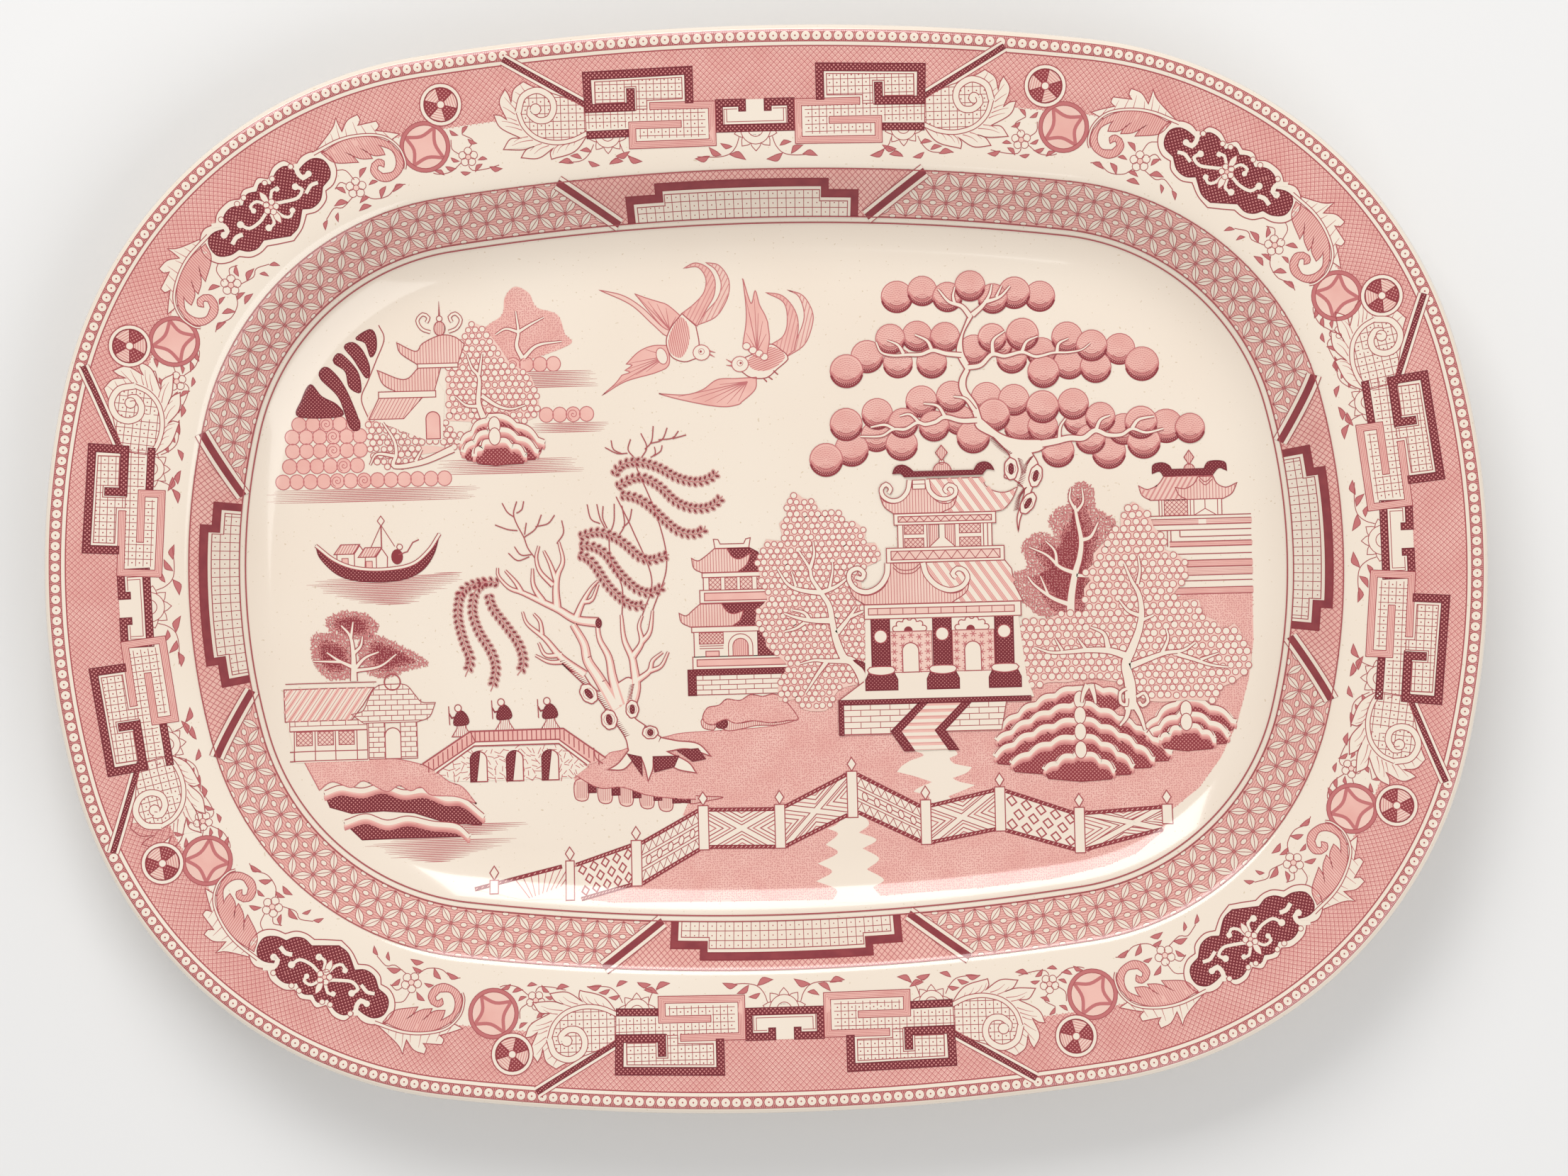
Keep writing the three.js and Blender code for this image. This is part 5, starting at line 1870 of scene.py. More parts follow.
FRONDS = (
    [(-88, -4), (-89, -10), (-88.4, -15), (-87, -20), (-85.6, -24), (-87.4, -28.6)],
    [(-84, -4.6), (-84.8, -10), (-83, -16), (-80, -21), (-78.4, -26), (-79.4, -31), (-80.2, -33)],
    [(-80, -5), (-79, -9), (-75.4, -14), (-72, -19), (-70.6, -23), (-70.6, -26), (-72.4, -28.6)],
    [(-77, -2), (-80, -1.4), (-83, -3), (-84.4, -5)], [(-80.4, -1.4), (-84, -2), (-87, -3.4), (-88.4, -6)],
    [(-53.6, 10.6), (-49, 12), (-44.6, 11), (-40, 8), (-36.6, 4.6), (-33, 3.4), (-30, 4.4), (-27.8, 5)],
    [(-53.6, 8), (-50, 8), (-46, 5.6), (-43, 1), (-40, -2.4), (-37, -5), (-33.4, -6), (-30.4, -4.6),
     (-29.2, -3)],
    [(-54, 5.6), (-51, 4.4), (-48.4, 1), (-46, -3), (-42.4, -7), (-38.4, -9.6), (-34.2, -9)],
    [(-43, 28), (-41, 31), (-36, 31.8), (-30, 30), (-25, 27), (-19.4, 25.6), (-15.4, 26.6), (-13, 28.6)],
    [(-42.4, 24.6), (-39, 26.6), (-35, 27.4), (-30, 24.6), (-25.4, 20), (-20, 18), (-15, 18.6),
     (-12, 21.4)],
    [(-41.4, 22.4), (-37, 21.6), (-33, 19), (-29, 15), (-25, 11.6), (-21, 10.6), (-18, 11.4), (-17.2, 13)],
)
TWIGS = (
    [(-66.4, 5), (-68.4, 8), (-69.4, 11), (-71.4, 15), (-72.2, 18), (-71.2, 21.4)],
    [(-72.2, 17), (-74, 18.4), (-75.4, 21)],
    [(-71.4, 18), (-69.8, 19), (-69.2, 21.4)], [(-71.2, 13), (-74, 13.4), (-77.6, 14.8)],
    [(-69.4, 11), (-66, 13.4), (-64.2, 17.4)],
    [(-66, 14), (-62.4, 14.8), (-60.4, 17.2)], [(-69.2, 11.8), (-68.6, 15.2)],
    [(-67.4, 6), (-70.4, 6), (-72.2, 8.4)],
    [(-68, 5.4), (-71.4, 4.4), (-74, 6.6)], [(-46, 13), (-47.4, 16), (-48.2, 20)],
    [(-47.4, 14.4), (-50, 15.8), (-51, 20)],
    [(-45.4, 13), (-46.6, 16), (-46.4, 19.4)], [(-44.4, 12), (-43.4, 15), (-43.2, 20)],
    [(-42, 11), (-40.4, 14), (-41, 19.4)],
    [(-41, 13), (-39, 15), (-38.2, 18.4)], [(-37, 33), (-38.8, 35.4), (-38, 38.4)],
    [(-39, 34.4), (-42, 34.4), (-45.4, 36.2)],
    [(-40.4, 34.2), (-43, 35.6), (-43.6, 38.2)], [(-35, 33), (-33.4, 36), (-35, 40)],
    [(-34, 35.4), (-32, 37.6), (-31.4, 42)],
    [(-32.4, 37), (-29, 38), (-27.4, 41.4)], [(-30, 38), (-26, 38.4), (-24.2, 40.4)],
    [(-26, 38.2), (-22, 39.2)],
    [(-32.4, 33), (-31, 34), (-31.2, 36)], [(-31.4, 33.4), (-29.4, 34.8), (-29, 36.4)],
    [(-60, 9), (-58, 12), (-58.4, 15.6)],
    [(-41.8, -12), (-41.6, -4), (-44.6, 4), (-45, 12)], [(-36, -12.4), (-33, -2), (-38, 12), (-42.6, 22)],
    [(-33, -11), (-28.6, 2), (-31, 16), (-36.4, 30), (-36.6, 33)],
)


def draw_willow(pen):
    roots = pieced(
        [(-41, -51), (-44, -54.6), (-47, -56.4)],
        [(-47, -56.4), (-42.6, -56.4), (-39.4, -53.6), (-37.3, -53.4)],
        [(-37.3, -53.4), (-36.4, -56), (-35.6, -60)], [(-35.6, -60), (-34.2, -56.6), (-34, -53.8)],
        [(-34, -53.8), (-31, -54.2), (-27, -56.8), (-21.7, -58)],
        [(-21.7, -58), (-24, -54.8), (-30, -51.6)],
        [(-30, -51.6), (-24, -51), (-17.3, -53.3)],
        [(-17.3, -53.3), (-21, -49.6), (-27, -48.6), (-31.4, -47.6)],
        [(-31.4, -47.6), (-36, -44), (-39.4, -41), (-39.4, -36), (-38, -31.6)],
        [(-38, -31.6), (-40.4, -30), (-42.6, -31)],
        [(-42.6, -31), (-46, -33), (-50, -33.4), (-54, -27.6)], [(-54, -27.6), (-56.6, -28), (-60, -25)],
        [(-60, -25), (-54, -31), (-50, -35), (-46, -41), (-42, -47), (-41, -51)],
    )
    for shade in ([(-41.4, -52), (-39, -55.6), (-37.2, -58.4), (-37.4, -53)],
                  [(-34, -53), (-33.6, -57.4), (-28, -56), (-26.6, -53)],
                  [(-27, -51.4), (-22.6, -54.6), (-19, -54), (-21, -51)]):
        crossed(pen.up(14), shade, 0.7, 0.44)
    pen = pen.up(10)
    limbs(pen,
          ([(-48.6, -14), (-55, -13), (-60, -10), (-64, -8), (-70, -5), (-74, -3.4), (-77, 0),
            (-77.2, 2.4)], 2.4, 0.4),
          ([(-70.4, -5), (-72, -2), (-75, 1.6)], 1.2, 0.4),
          ([(-64.4, -7.6), (-67, -3), (-67.2, 2)], 1.5, 0.4),
          ([(-60.4, -10), (-60.6, -4), (-60, 0), (-58.4, 4), (-59.4, 9.4)], 2.0, 0.4),
          ([(-60.4, -2), (-62, 3), (-63.8, 7)], 1.2, 0.4),
          ([(-61.4, -3), (-65, 1), (-66, 5), (-65.2, 8.4)], 1.2, 0.4),
          ([(-55, -12.4), (-53, -8), (-50.4, -4), (-48.4, -2)], 1.6, 0.4),
          ([(-53, -8), (-50.4, -7.4), (-48.4, -3)], 1.0, 0.4),
          ([(-44, -39), (-49, -30), (-52, -25), (-53, -20), (-56, -14.4)], 3.4, 1.6),
          ([(-43, -38), (-45, -30), (-46, -24), (-48.4, -19), (-49, -14.4)], 2.8, 0.8),
          ([(-53, -29), (-59.4, -24), (-64, -18.4), (-69, -14), (-70.4, -10.4)], 2.2, 0.4),
          ([(-65, -17), (-65.4, -13.4), (-67.2, -11)], 1.0, 0.4),
          ([(-59.4, -23), (-64, -23), (-66, -19.4)], 1.2, 0.4),
          ([(-58.4, -25), (-63, -25), (-67, -23)], 1.2, 0.4),
          ([(-40, -38), (-38.4, -33), (-38.8, -27), (-39.4, -24), (-41.4, -19), (-42, -12)], 2.8, 0.5),
          ([(-39, -24), (-36.4, -20), (-37, -15.4), (-36, -12.4)], 1.6, 0.4),
          ([(-36.4, -20), (-34, -17), (-33, -11)], 1.3, 0.4),
          ([(-38, -31), (-34.4, -28.4), (-33.4, -25.4), (-30.4, -23)], 1.5, 0.4),
          ([(-34.4, -28.4), (-31, -27), (-28.8, -23)], 1.0, 0.4), over=4, fill="pale")
    pen.up(2).form(roots, "ivory", 0.35, curved=False)
    for edge, way in (([(-60, -25), (-54, -31), (-50, -35), (-46, -41), (-42, -47)], (1.5, 0.5)),
                      ([(-38.8, -32), (-39.6, -36), (-39.6, -40)], (-1.5, -0.4)),
                      ([(-36, -44), (-31.6, -47.4)], (-0.7, -1.5)),
                      ([(-52, -24), (-48, -31)], (1.2, 0.5))):
        for spot in smooth(edge, step=0.45):
            pen.up(5).line([spot, spot + way], 0.32, "dark", to=0.06)
    for place, rx, ry, turn in (((-52, -34.4), 2.2, 3, 0.6), ((-46.3, -42), 2.2, 2.8, 0.2),
                                ((-39.6, -39.2), 1.8, 2.5, 0),
                                ((-34.6, -46), 2.2, 1.8, 0)):
        knot(pen.up(6), place, rx, ry, turn, rx)
    crossed(pen.up(6), oval((-48.6, -14.2), 0.8, 1.3), 0.6, 0.4)
    for points in TWIGS:
        pen.up(2).curve(points, 0.32)
    for points in FRONDS:
        frond(pen.up(4), points)


# ------------------------------------------------------------------ landscape: bridge, gate and water
def draw_figure(pen, x, y, lean):
    """A tiny robed figure with a staff, seen from afar and without a face."""
    striped(pen, [(x - 2.6, y - 0.4), (x - 1.1, y + 2), (x - 1, y + 4.4), (x + 1.2, y + 4.4),
                  (x + 1.5, y + 2), (x + 3, y - 0.4)], 84, 0.6, "ivory")
    crossed(pen.up(3), smooth([(x - 1.9, y + 3), (x - 1.3, y + 6), (x + 0.3, y + 7), (x + 1.9, y + 5.4),
                               (x + 2, y + 3.2)], True), 0.6, 0.42)
    pen.up(3).line([(x, y + 5.6), (x + lean * 2.6, y + 5), (x + lean * 3.4, y + 6.6)], 0.6, "dark", to=0.3)
    pen.up(4).form(oval((x + lean * 0.7, y + 7.8), 0.95, 1), "ivory", 0.3, curved=False)
    pen.up(3).line([(x + lean * 3.4, y + 8.4), (x + lean * 3.2, y + 3)], 0.28)


def draw_bridge(pen):
    wall = [(-97, -56), (-85.4, -49), (-61, -49), (-52.6, -55.2), (-57, -58.4), (-87, -58.8),
            (-92.4, -58.4)]
    pen.area(wall, "ivory")
    stipple(pen.up(1), wall, 51, 0.42, "mid", 2.2, 0.22)
    for x in (-84.2, -73.8, -63.6):
        arch = np.concatenate([[(x - 2.4, -58.9)], arc((x, -52.6), 2.4, 180, 0), [(x + 2.4, -58.9)]])
        pen.up(2).form(arch, "ivory", 0.35, curved=False)
        crossed(pen.up(4), np.concatenate([[(x - 2.4, -58.8)], arc((x, -52.6), 2.4, 180, 80),
                                           [(x - 0.7, -58.8)]]), 0.7, 0.45)
    parapet = [(-100.4, -53.4), (-86.4, -44.4), (-59.6, -44.2), (-47.6, -53), (-52.4, -54.8), (-61, -48.4),
               (-85.4, -48.4), (-96.6, -56)]
    pen.up(6).area(parapet, "pale")
    for upper, lower in (((-100.4, -53.4), (-97, -55.4)), ((-86.4, -44.4), (-85, -47.4))):
        pen.up(7).line([upper, lower], 0.3)
    pen.up(7).line([(-96.8, -55.6), (-85.2, -48), (-61, -47.9), (-52.5, -54.5)], 1.0, "ivory")
    for rail, width in (([(-100.4, -53.4), (-86.4, -44.4), (-59.6, -44.2), (-47.6, -53)], 0.45),
                        ([(-97, -55.2), (-85, -47.4), (-61, -47.3), (-52, -54.2)], 0.4),
                        ([(-96.4, -56), (-85.4, -48.6), (-61, -48.5), (-53, -54.9)], 0.4)):
        pen.up(8).line(rail, width, "line")
    for start, stop, count in (((-98.6, -54.4), (-86, -46.2), 10), ((-85, -45.8), (-60.6, -45.8), 19),
                               ((-59.4, -46.2), (-49.6, -53.4), 8)):
        for spot in np.linspace(start, stop, count):
            pen.up(7).line([spot + [0, 1.5], spot - [0, 1.5]], 0.3, "line")
    for x, y, lean in ((-89, -45.4, -1), (-76.6, -44, -1), (-63.4, -44, -1)):
        draw_figure(pen.up(2), x, y, lean)
    pen.up(9).curve([(-51, -50), (-50.4, -53), (-48.4, -54.6)], 0.3)


def draw_gate(pen):
    water(pen, [(-97, -71), (-72, -70.8), (-78, -73), (-90, -75), (-77, -75.4), (-82, -78), (-90, -79.6),
                (-97, -82), (-106, -80),
                (-114, -76.6), (-104, -74)], 61)
    for shelf, foot in (
        ([(-128.6, -61), (-124, -59.6), (-118, -60.6), (-112, -59.4), (-106, -61.4), (-100, -61),
          (-94, -63.4), (-89, -64), (-83, -69)],
         [(-84, -71.4), (-94, -70.4), (-103, -67.4), (-112, -66.6), (-121, -67), (-127, -65)]),
        ([(-123, -69.6), (-117, -68), (-111, -70), (-105, -69), (-98, -70.6), (-91, -71.6), (-87.4, -74.6)],
         [(-118, -74.6)]),
    ):
        edge = smooth(shelf)
        crossed(pen, np.concatenate([edge, foot]), 0.8, 0.44)
        draw_ridge(pen.up(1), edge)
    bank = np.concatenate([smooth([(-134, -52), (-128, -51), (-119, -52), (-110.4, -51.4), (-101.4, -53.3),
                                   (-97, -55.4), (-93, -58.6),
                                   (-89, -60.4), (-85.2, -65.2)]),
                           smooth([(-85.2, -65.2), (-91, -63), (-98, -62.4), (-101, -60), (-104, -61),
                                   (-107.4, -59.4), (-111, -61),
                                   (-117.4, -57.8), (-121, -59.6), (-126.4, -57.8), (-130, -60)])])
    pen.up(7).form(bank, "pale", 0.28, "mid", curved=False)
    stipple(pen.up(8), bank, 62)
    lower = [(-136.4, -52), (-115.6, -52), (-115.6, -40), (-138.8, -40)]
    pen.up(9).area(lower, "ivory")
    for y in (-43.1, -48.9, -51.6):
        pen.up(10).line([(-138, y), (-116, y)], 0.3)
    bricks(pen.up(10), box(-138, -43, -116, -40.2), 1.4, 3.6)
    for x in (-136.2, -130.2, -124.2):
        lattice_window(pen.up(10), x, -47.2, x + 4.4, -43.3)
    for x in (-136.8, -131, -125.2, -119, -116):
        pen.up(10).line([(x, -43), (x, -51.6)], 0.28)
    roof = [(-139.4, -31), (-113.8, -31), (-117, -36), (-120.4, -40.2), (-139.2, -40.2)]
    pen.up(11).form(roof, "ivory", 0.3, curved=False)
    pen.up(12).hatch(roof, 55, 2.2, 1.0, "pale")
    pen.up(13).hatch(roof, 55, 1.1, 0.15, "mid")
    pen.up(12).line([(-139, -29.4), (-113, -29.4)], 0.25)
    for x in (-115.6, -106.4):
        bricks(pen.up(10), box(x, -51.6, x + 4.7, -41), 1.45, 3.2)
    arch = np.concatenate([[(-110.9, -51.6)], arc((-108.65, -45), 2.25, 180, 0), [(-106.4, -51.6)]])
    pen.up(10).form(arch, "ivory", 0.3, curved=False)
    cap = pieced([(-120.4, -38.6), (-117, -37.6), (-115, -33.4), (-112.6, -30.6), (-108, -30.2),
                  (-104.4, -30.6), (-102, -33.4),
                  (-100, -35.6), (-96.2, -35.8)], [(-96.2, -35.8), (-98, -39.8), (-101.6, -41.2)],
                  [(-101.6, -41.2), (-117, -41.2)],
                 [(-117, -41.2), (-120.4, -38.6)])
    bricks(pen.up(12), cap, 1.5, 3.4)
    pen.up(14).ring((-108.4, -29.6), 2.3, 0.4, "line", 20)


def draw_boat(pen):
    water(pen, [(-129, -1), (-124, 0.6), (-112, -0.6), (-100, 1), (-90, 1.8), (-90.4, -1), (-98, -4.4),
                (-103, -7), (-109, -7.6),
                (-116, -6.4), (-126, -3)], 71)
    for x, y, wide, high, door in ((-123.3, 3.5, 5, 4, 1.8), (-116.4, 1.5, 4.4, 5, 1.8)):
        plank(pen.up(2), x, y, x + wide, y + high)
        pen.up(4).form(box(x + 1.4, y, x + 1.4 + door, y + high - 1.2), "pale", 0.22, curved=False)
        pen.up(4).form([(x + wide, y), (x + wide, y + high), (x + wide + 1.6, y + high + 2.4),
                        (x + wide + 3.2, y + high), (x + wide + 3, y)],
                       "ivory", 0.28, curved=False)
        striped(pen.up(6), [(x - 0.8, y + high), (x + 1.2, y + high + 2.7),
                            (x + wide + 1.6, y + high + 2.7), (x + wide - 0.4, y + high)], 60, 0.7)
    pen.up(6).line([(-110.4, 9.4), (-110.4, 16.4)], 0.35)
    pen.up(7).form([(-110.4, 18.2), (-109.4, 16.8), (-110.4, 15.4), (-111.4, 16.8)], "ivory", 0.26,
                   curved=False)
    for foot in (-113.4, -106.6):
        pen.up(5).line([(-110.4, 15.6), (foot, 9.4)], 0.22)
    pen.up(6).area(oval((-106, 6.4), 1.7, 2.2), "dark")
    pen.up(7).form(oval((-105.2, 9.2), 0.8, 0.8), "ivory", 0.26, curved=False)
    pen.up(7).line([(-105.6, 7), (-103, 7.8), (-101.4, 10.4), (-99.6, 11.2)], 0.32)
    hull = pieced([(-129.3, 10.2), (-128, 6.4), (-123, 1.6), (-116, -0.4), (-106, -0.4), (-99.4, 2),
                   (-95.6, 6.6), (-93.6, 12.7)],
                  [(-93.6, 12.7), (-97, 7.6), (-102, 3.8), (-110, 2.6), (-118, 3.2), (-124, 5.6),
                   (-129.3, 10.2)])
    crossed(pen.up(9), hull, 0.75, 0.46)
    pen.up(12).curve([(-129.3, 10.2), (-124, 5.9), (-118, 3.5), (-110, 2.9), (-102, 4.1), (-97, 7.9),
                      (-93.6, 12.7)], 1.15, "line")
    pen.up(13).curve([(-129.3, 10.2), (-124, 5.9), (-118, 3.5), (-110, 2.9), (-102, 4.1), (-97, 7.9),
                      (-93.6, 12.7)], 0.65, "ivory")


def draw_water_tree(pen):
    clumps = (
        ([(-127, -11), (-122, -9), (-116, -9.6), (-112, -13), (-114, -16.4), (-119, -17), (-125, -16)], 2),
        ([(-131, -16), (-127, -15), (-120, -18), (-119, -23), (-121, -28), (-127, -28), (-131, -23)], 3),
        ([(-116, -15.4), (-110, -17), (-104, -20), (-98, -24.4), (-104, -26.4), (-111, -28.4), (-116, -26),
          (-118, -20)], 4),
    )
    for outline, seed in clumps:
        crown = smooth(outline, True)
        middle = crown.mean(0)
        draw_shadow_crown(pen, crown, middle + (crown - middle) * 0.66, seed)
    limbs(pen.up(9),
          ([(-119.4, -29), (-119.4, -21), (-120.2, -16), (-122.6, -13)], 1.7, 0.4),
          ([(-120, -17), (-119.2, -12)], 0.8, 0.3),
          ([(-119.2, -21), (-117.2, -19), (-116.6, -16.2)], 0.9, 0.3),
          ([(-119.6, -25), (-123.6, -23), (-127, -20.6)], 1.0, 0.3),
          ([(-123, -23.4), (-131, -23)], 0.7, 0.3),
          ([(-119, -25.4), (-116, -22.4), (-112, -20.8)], 1.0, 0.3),
          ([(-119, -26), (-112, -25), (-107, -21.6)], 0.9, 0.3))


# ------------------------------------------------------------------ landscape: the far island
def stones(pen, y, start, stop, radius=2.05, whorl=()):
    """A row of rounded shore stones, some drawn as whorls."""
    for k, x in enumerate(np.arange(start, stop, radius * 1.88)):
        stone = pen.up(0.5 * (k % 2))
        stone.form(oval((x, y), radius, radius * 1.04), "pale", 0.25, "mid", curved=False)
        if k in whorl:
            turns = np.linspace(0, 3.4 * math.pi, 26)[:, None]
            stone.up(2).line(np.array([x, y]) + radius * 0.075 * turns * np.concatenate([np.cos(turns),
                np.sin(turns)], 1), 0.22, "mid")


def draw_island(pen):
    for area, seed in (([(-139, 26.4), (-85, 26.4), (-85, 22.6), (-139, 22.6)], 81),
                       ([(-90, 34), (-55, 34), (-55, 29.6), (-90, 29.6)], 82),
                       ([(-64, 44), (-46, 44), (-46, 41), (-64, 41)], 83),
                       ([(-75, 59), (-50, 59), (-50, 54), (-75, 54)], 84)):
        water(pen, area, seed)
    for y, start, stop, whorl in ((45, -133, -117, (2,)), (41.4, -135, -112, (3,)),
                                  (37.4, -135, -114, (3,)), (33, -136, -115, (4,)),
                                  (28.6, -138, -90, (4, 6)), (36.2, -85, -62, (1,)), (46, -62, -47, (2,)),
                                  (60.6, -75, -56, (1,))):
        stones(pen.up(2), y, start, stop, whorl=whorl)
    foliage(pen.up(6), [(-82, 73), (-87, 66), (-90, 61), (-90, 45), (-85, 41), (-86, 37), (-98, 38),
                        (-99, 33), (-112, 33), (-114, 41),
                        (-112, 49), (-104, 47), (-97, 46), (-90, 45), (-66, 45), (-66, 57), (-72, 61),
                        (-75, 66)], 0.95, 91)
    for lobe in (
        [(-133, 47.4), (-132, 52), (-129.4, 56.4), (-126.4, 53), (-122, 50.4), (-121, 47.2)],
        [(-126.4, 60.4), (-124.4, 61.2), (-121, 57.6), (-118, 51.6), (-115.6, 44), (-118.4, 43.8),
         (-121.4, 52.4), (-126.4, 58)],
        [(-122.4, 64), (-120.4, 65), (-116, 60), (-115, 55), (-115.8, 53.8), (-118.4, 55.6), (-119.4, 60),
         (-122.4, 62.4)],
        [(-119.4, 67), (-117, 68.2), (-114.4, 66), (-112.4, 61), (-113.4, 58), (-117, 63.6)],
        [(-116, 69.4), (-112, 71.8), (-110.4, 70), (-110.4, 66), (-112, 64), (-113.4, 68)],
    ):
        crossed(pen.up(3), smooth(lobe, True), 0.75, 0.42)
    pen.up(4).curve([(-113, 46), (-115, 52), (-113, 57), (-110.4, 63), (-108, 69), (-109.4, 73)], 0.3)
    mass = [(-73, 80), (-70, 83), (-66, 81), (-64, 77), (-58, 74.6), (-56, 69), (-54, 67), (-56, 65.4),
            (-63, 63), (-70, 61.6),
            (-76, 65), (-79, 71), (-74, 75)]
    pen.up(2).area(smooth(mass, True), "pale")
    stipple(pen.up(3), smooth(mass, True), 92)
    limbs(pen.up(4),
          ([(-68.4, 62.4), (-70, 66), (-69.4, 70), (-70, 76)], 1.2, 0.3),
          ([(-69.4, 70), (-73, 71), (-76, 69.4)], 0.8, 0.3),
          ([(-69.4, 70), (-66, 72), (-62, 74)], 0.8, 0.3), ([(-68, 62.6), (-64, 66), (-57, 67)], 1.0, 0.3))
    pen.up(10).area([(-112, 46), (-96.4, 39.6), (-92, 39.6), (-91, 53), (-95, 60.4), (-103, 56),
                     (-110, 52)], "ivory")
    for roof in (pieced([(-110.2, 60), (-108.6, 56), (-104.6, 53.6)], [(-104.6, 53.6), (-94, 53.6)],
                        [(-94, 53.6), (-92, 60.4)],
                        [(-92, 60.4), (-98.4, 60.4)], [(-98.4, 60.4), (-102.6, 57.2), (-110.2, 60)]),
                 pieced([(-104.4, 67.8), (-103.4, 64.8), (-98.6, 61.4)], [(-98.6, 61.4), (-87, 61.4)],
                        [(-87, 61.4), (-85, 67)],
                        [(-85, 67), (-88, 69.2), (-92, 69.6), (-97, 67.4), (-99, 65.2), (-104.4, 67.8)])):
        striped(pen.up(12), roof, 90, 0.85)
    for x0, y0, x1, y1 in ((-98.6, 60.4, -87, 61.6), (-110, 52, -93.6, 53.8)):
        plank(pen.up(15), x0, y0, x1, y1)
    striped(pen.up(12), [(-110, 52), (-113, 46), (-103, 46), (-97.4, 52)], 60, 0.9)
    door = np.concatenate([[(-96.6, 40)], arc((-94.6, 45.8), 2, 180, 0), [(-92.6, 40)]])
    pen.up(13).form(door, "pale", 0.3, curved=False)
    for curl in ([(-89.4, 70.6), (-87, 71.6), (-85.8, 74), (-87.4, 75.8), (-89, 74.8), (-88.4, 73.4)],):
        scroll(pen.up(14), curl, 0.6)
        scroll(pen.up(14), [(-184.1 - x, y) for x, y in curl], 0.6)
    striped(pen.up(14), oval((-92, 71.6), 1.6, 2), 90, 0.5)
    pen.up(14).form(oval((-92, 74.4), 0.8, 0.8), "ivory", 0.25, curved=False)
    pen.up(14).line([(-92, 75.2), (-92, 79.4)], 0.5, to=0.1)
    draw_rocks(pen.up(16), -77, (45.6, 42, 38.8),
               (((-86.6, 38), (-63, 37.6)), ((-86, 35.6), (-64.6, 35.4)), ((-83, 34.6), (-68, 34.4))), 5)
    limbs(pen.up(14),
          ([(-80, 45.4), (-81.4, 50), (-81, 57), (-83, 60), (-84.4, 64)], 1.6, 0.3),
          ([(-81, 58), (-80, 64)], 0.8, 0.3),
          ([(-81.8, 49), (-85, 49.4), (-88, 52)], 0.9, 0.3),
          ([(-80.4, 52), (-76, 49), (-72, 48), (-68, 49)], 1.1, 0.3),
          ([(-89, 37), (-98, 33.4), (-106, 32.4), (-105.4, 36), (-106, 40), (-109, 45)], 1.8, 0.4),
          ([(-106, 35.4), (-111, 36), (-113, 33)], 0.9, 0.3), ([(-100, 33.6), (-98, 37)], 0.9, 0.3))


# ------------------------------------------------------------------ landscape: the two birds
def plume(pen, outline, rays, fill="blush"):
    """A wing or tail: a light outline with feather lines fanned along it."""
    outline = smooth(outline, True) if len(outline) < 60 else outline
    pen.form(outline, fill, 0.28, "mid", curved=False)
    for start, stop in rays:
        pen.up(2).line([start, stop], 0.3, "mid", to=0.1)


def fan(root, tips):
    return [(root, tip) for tip in tips]


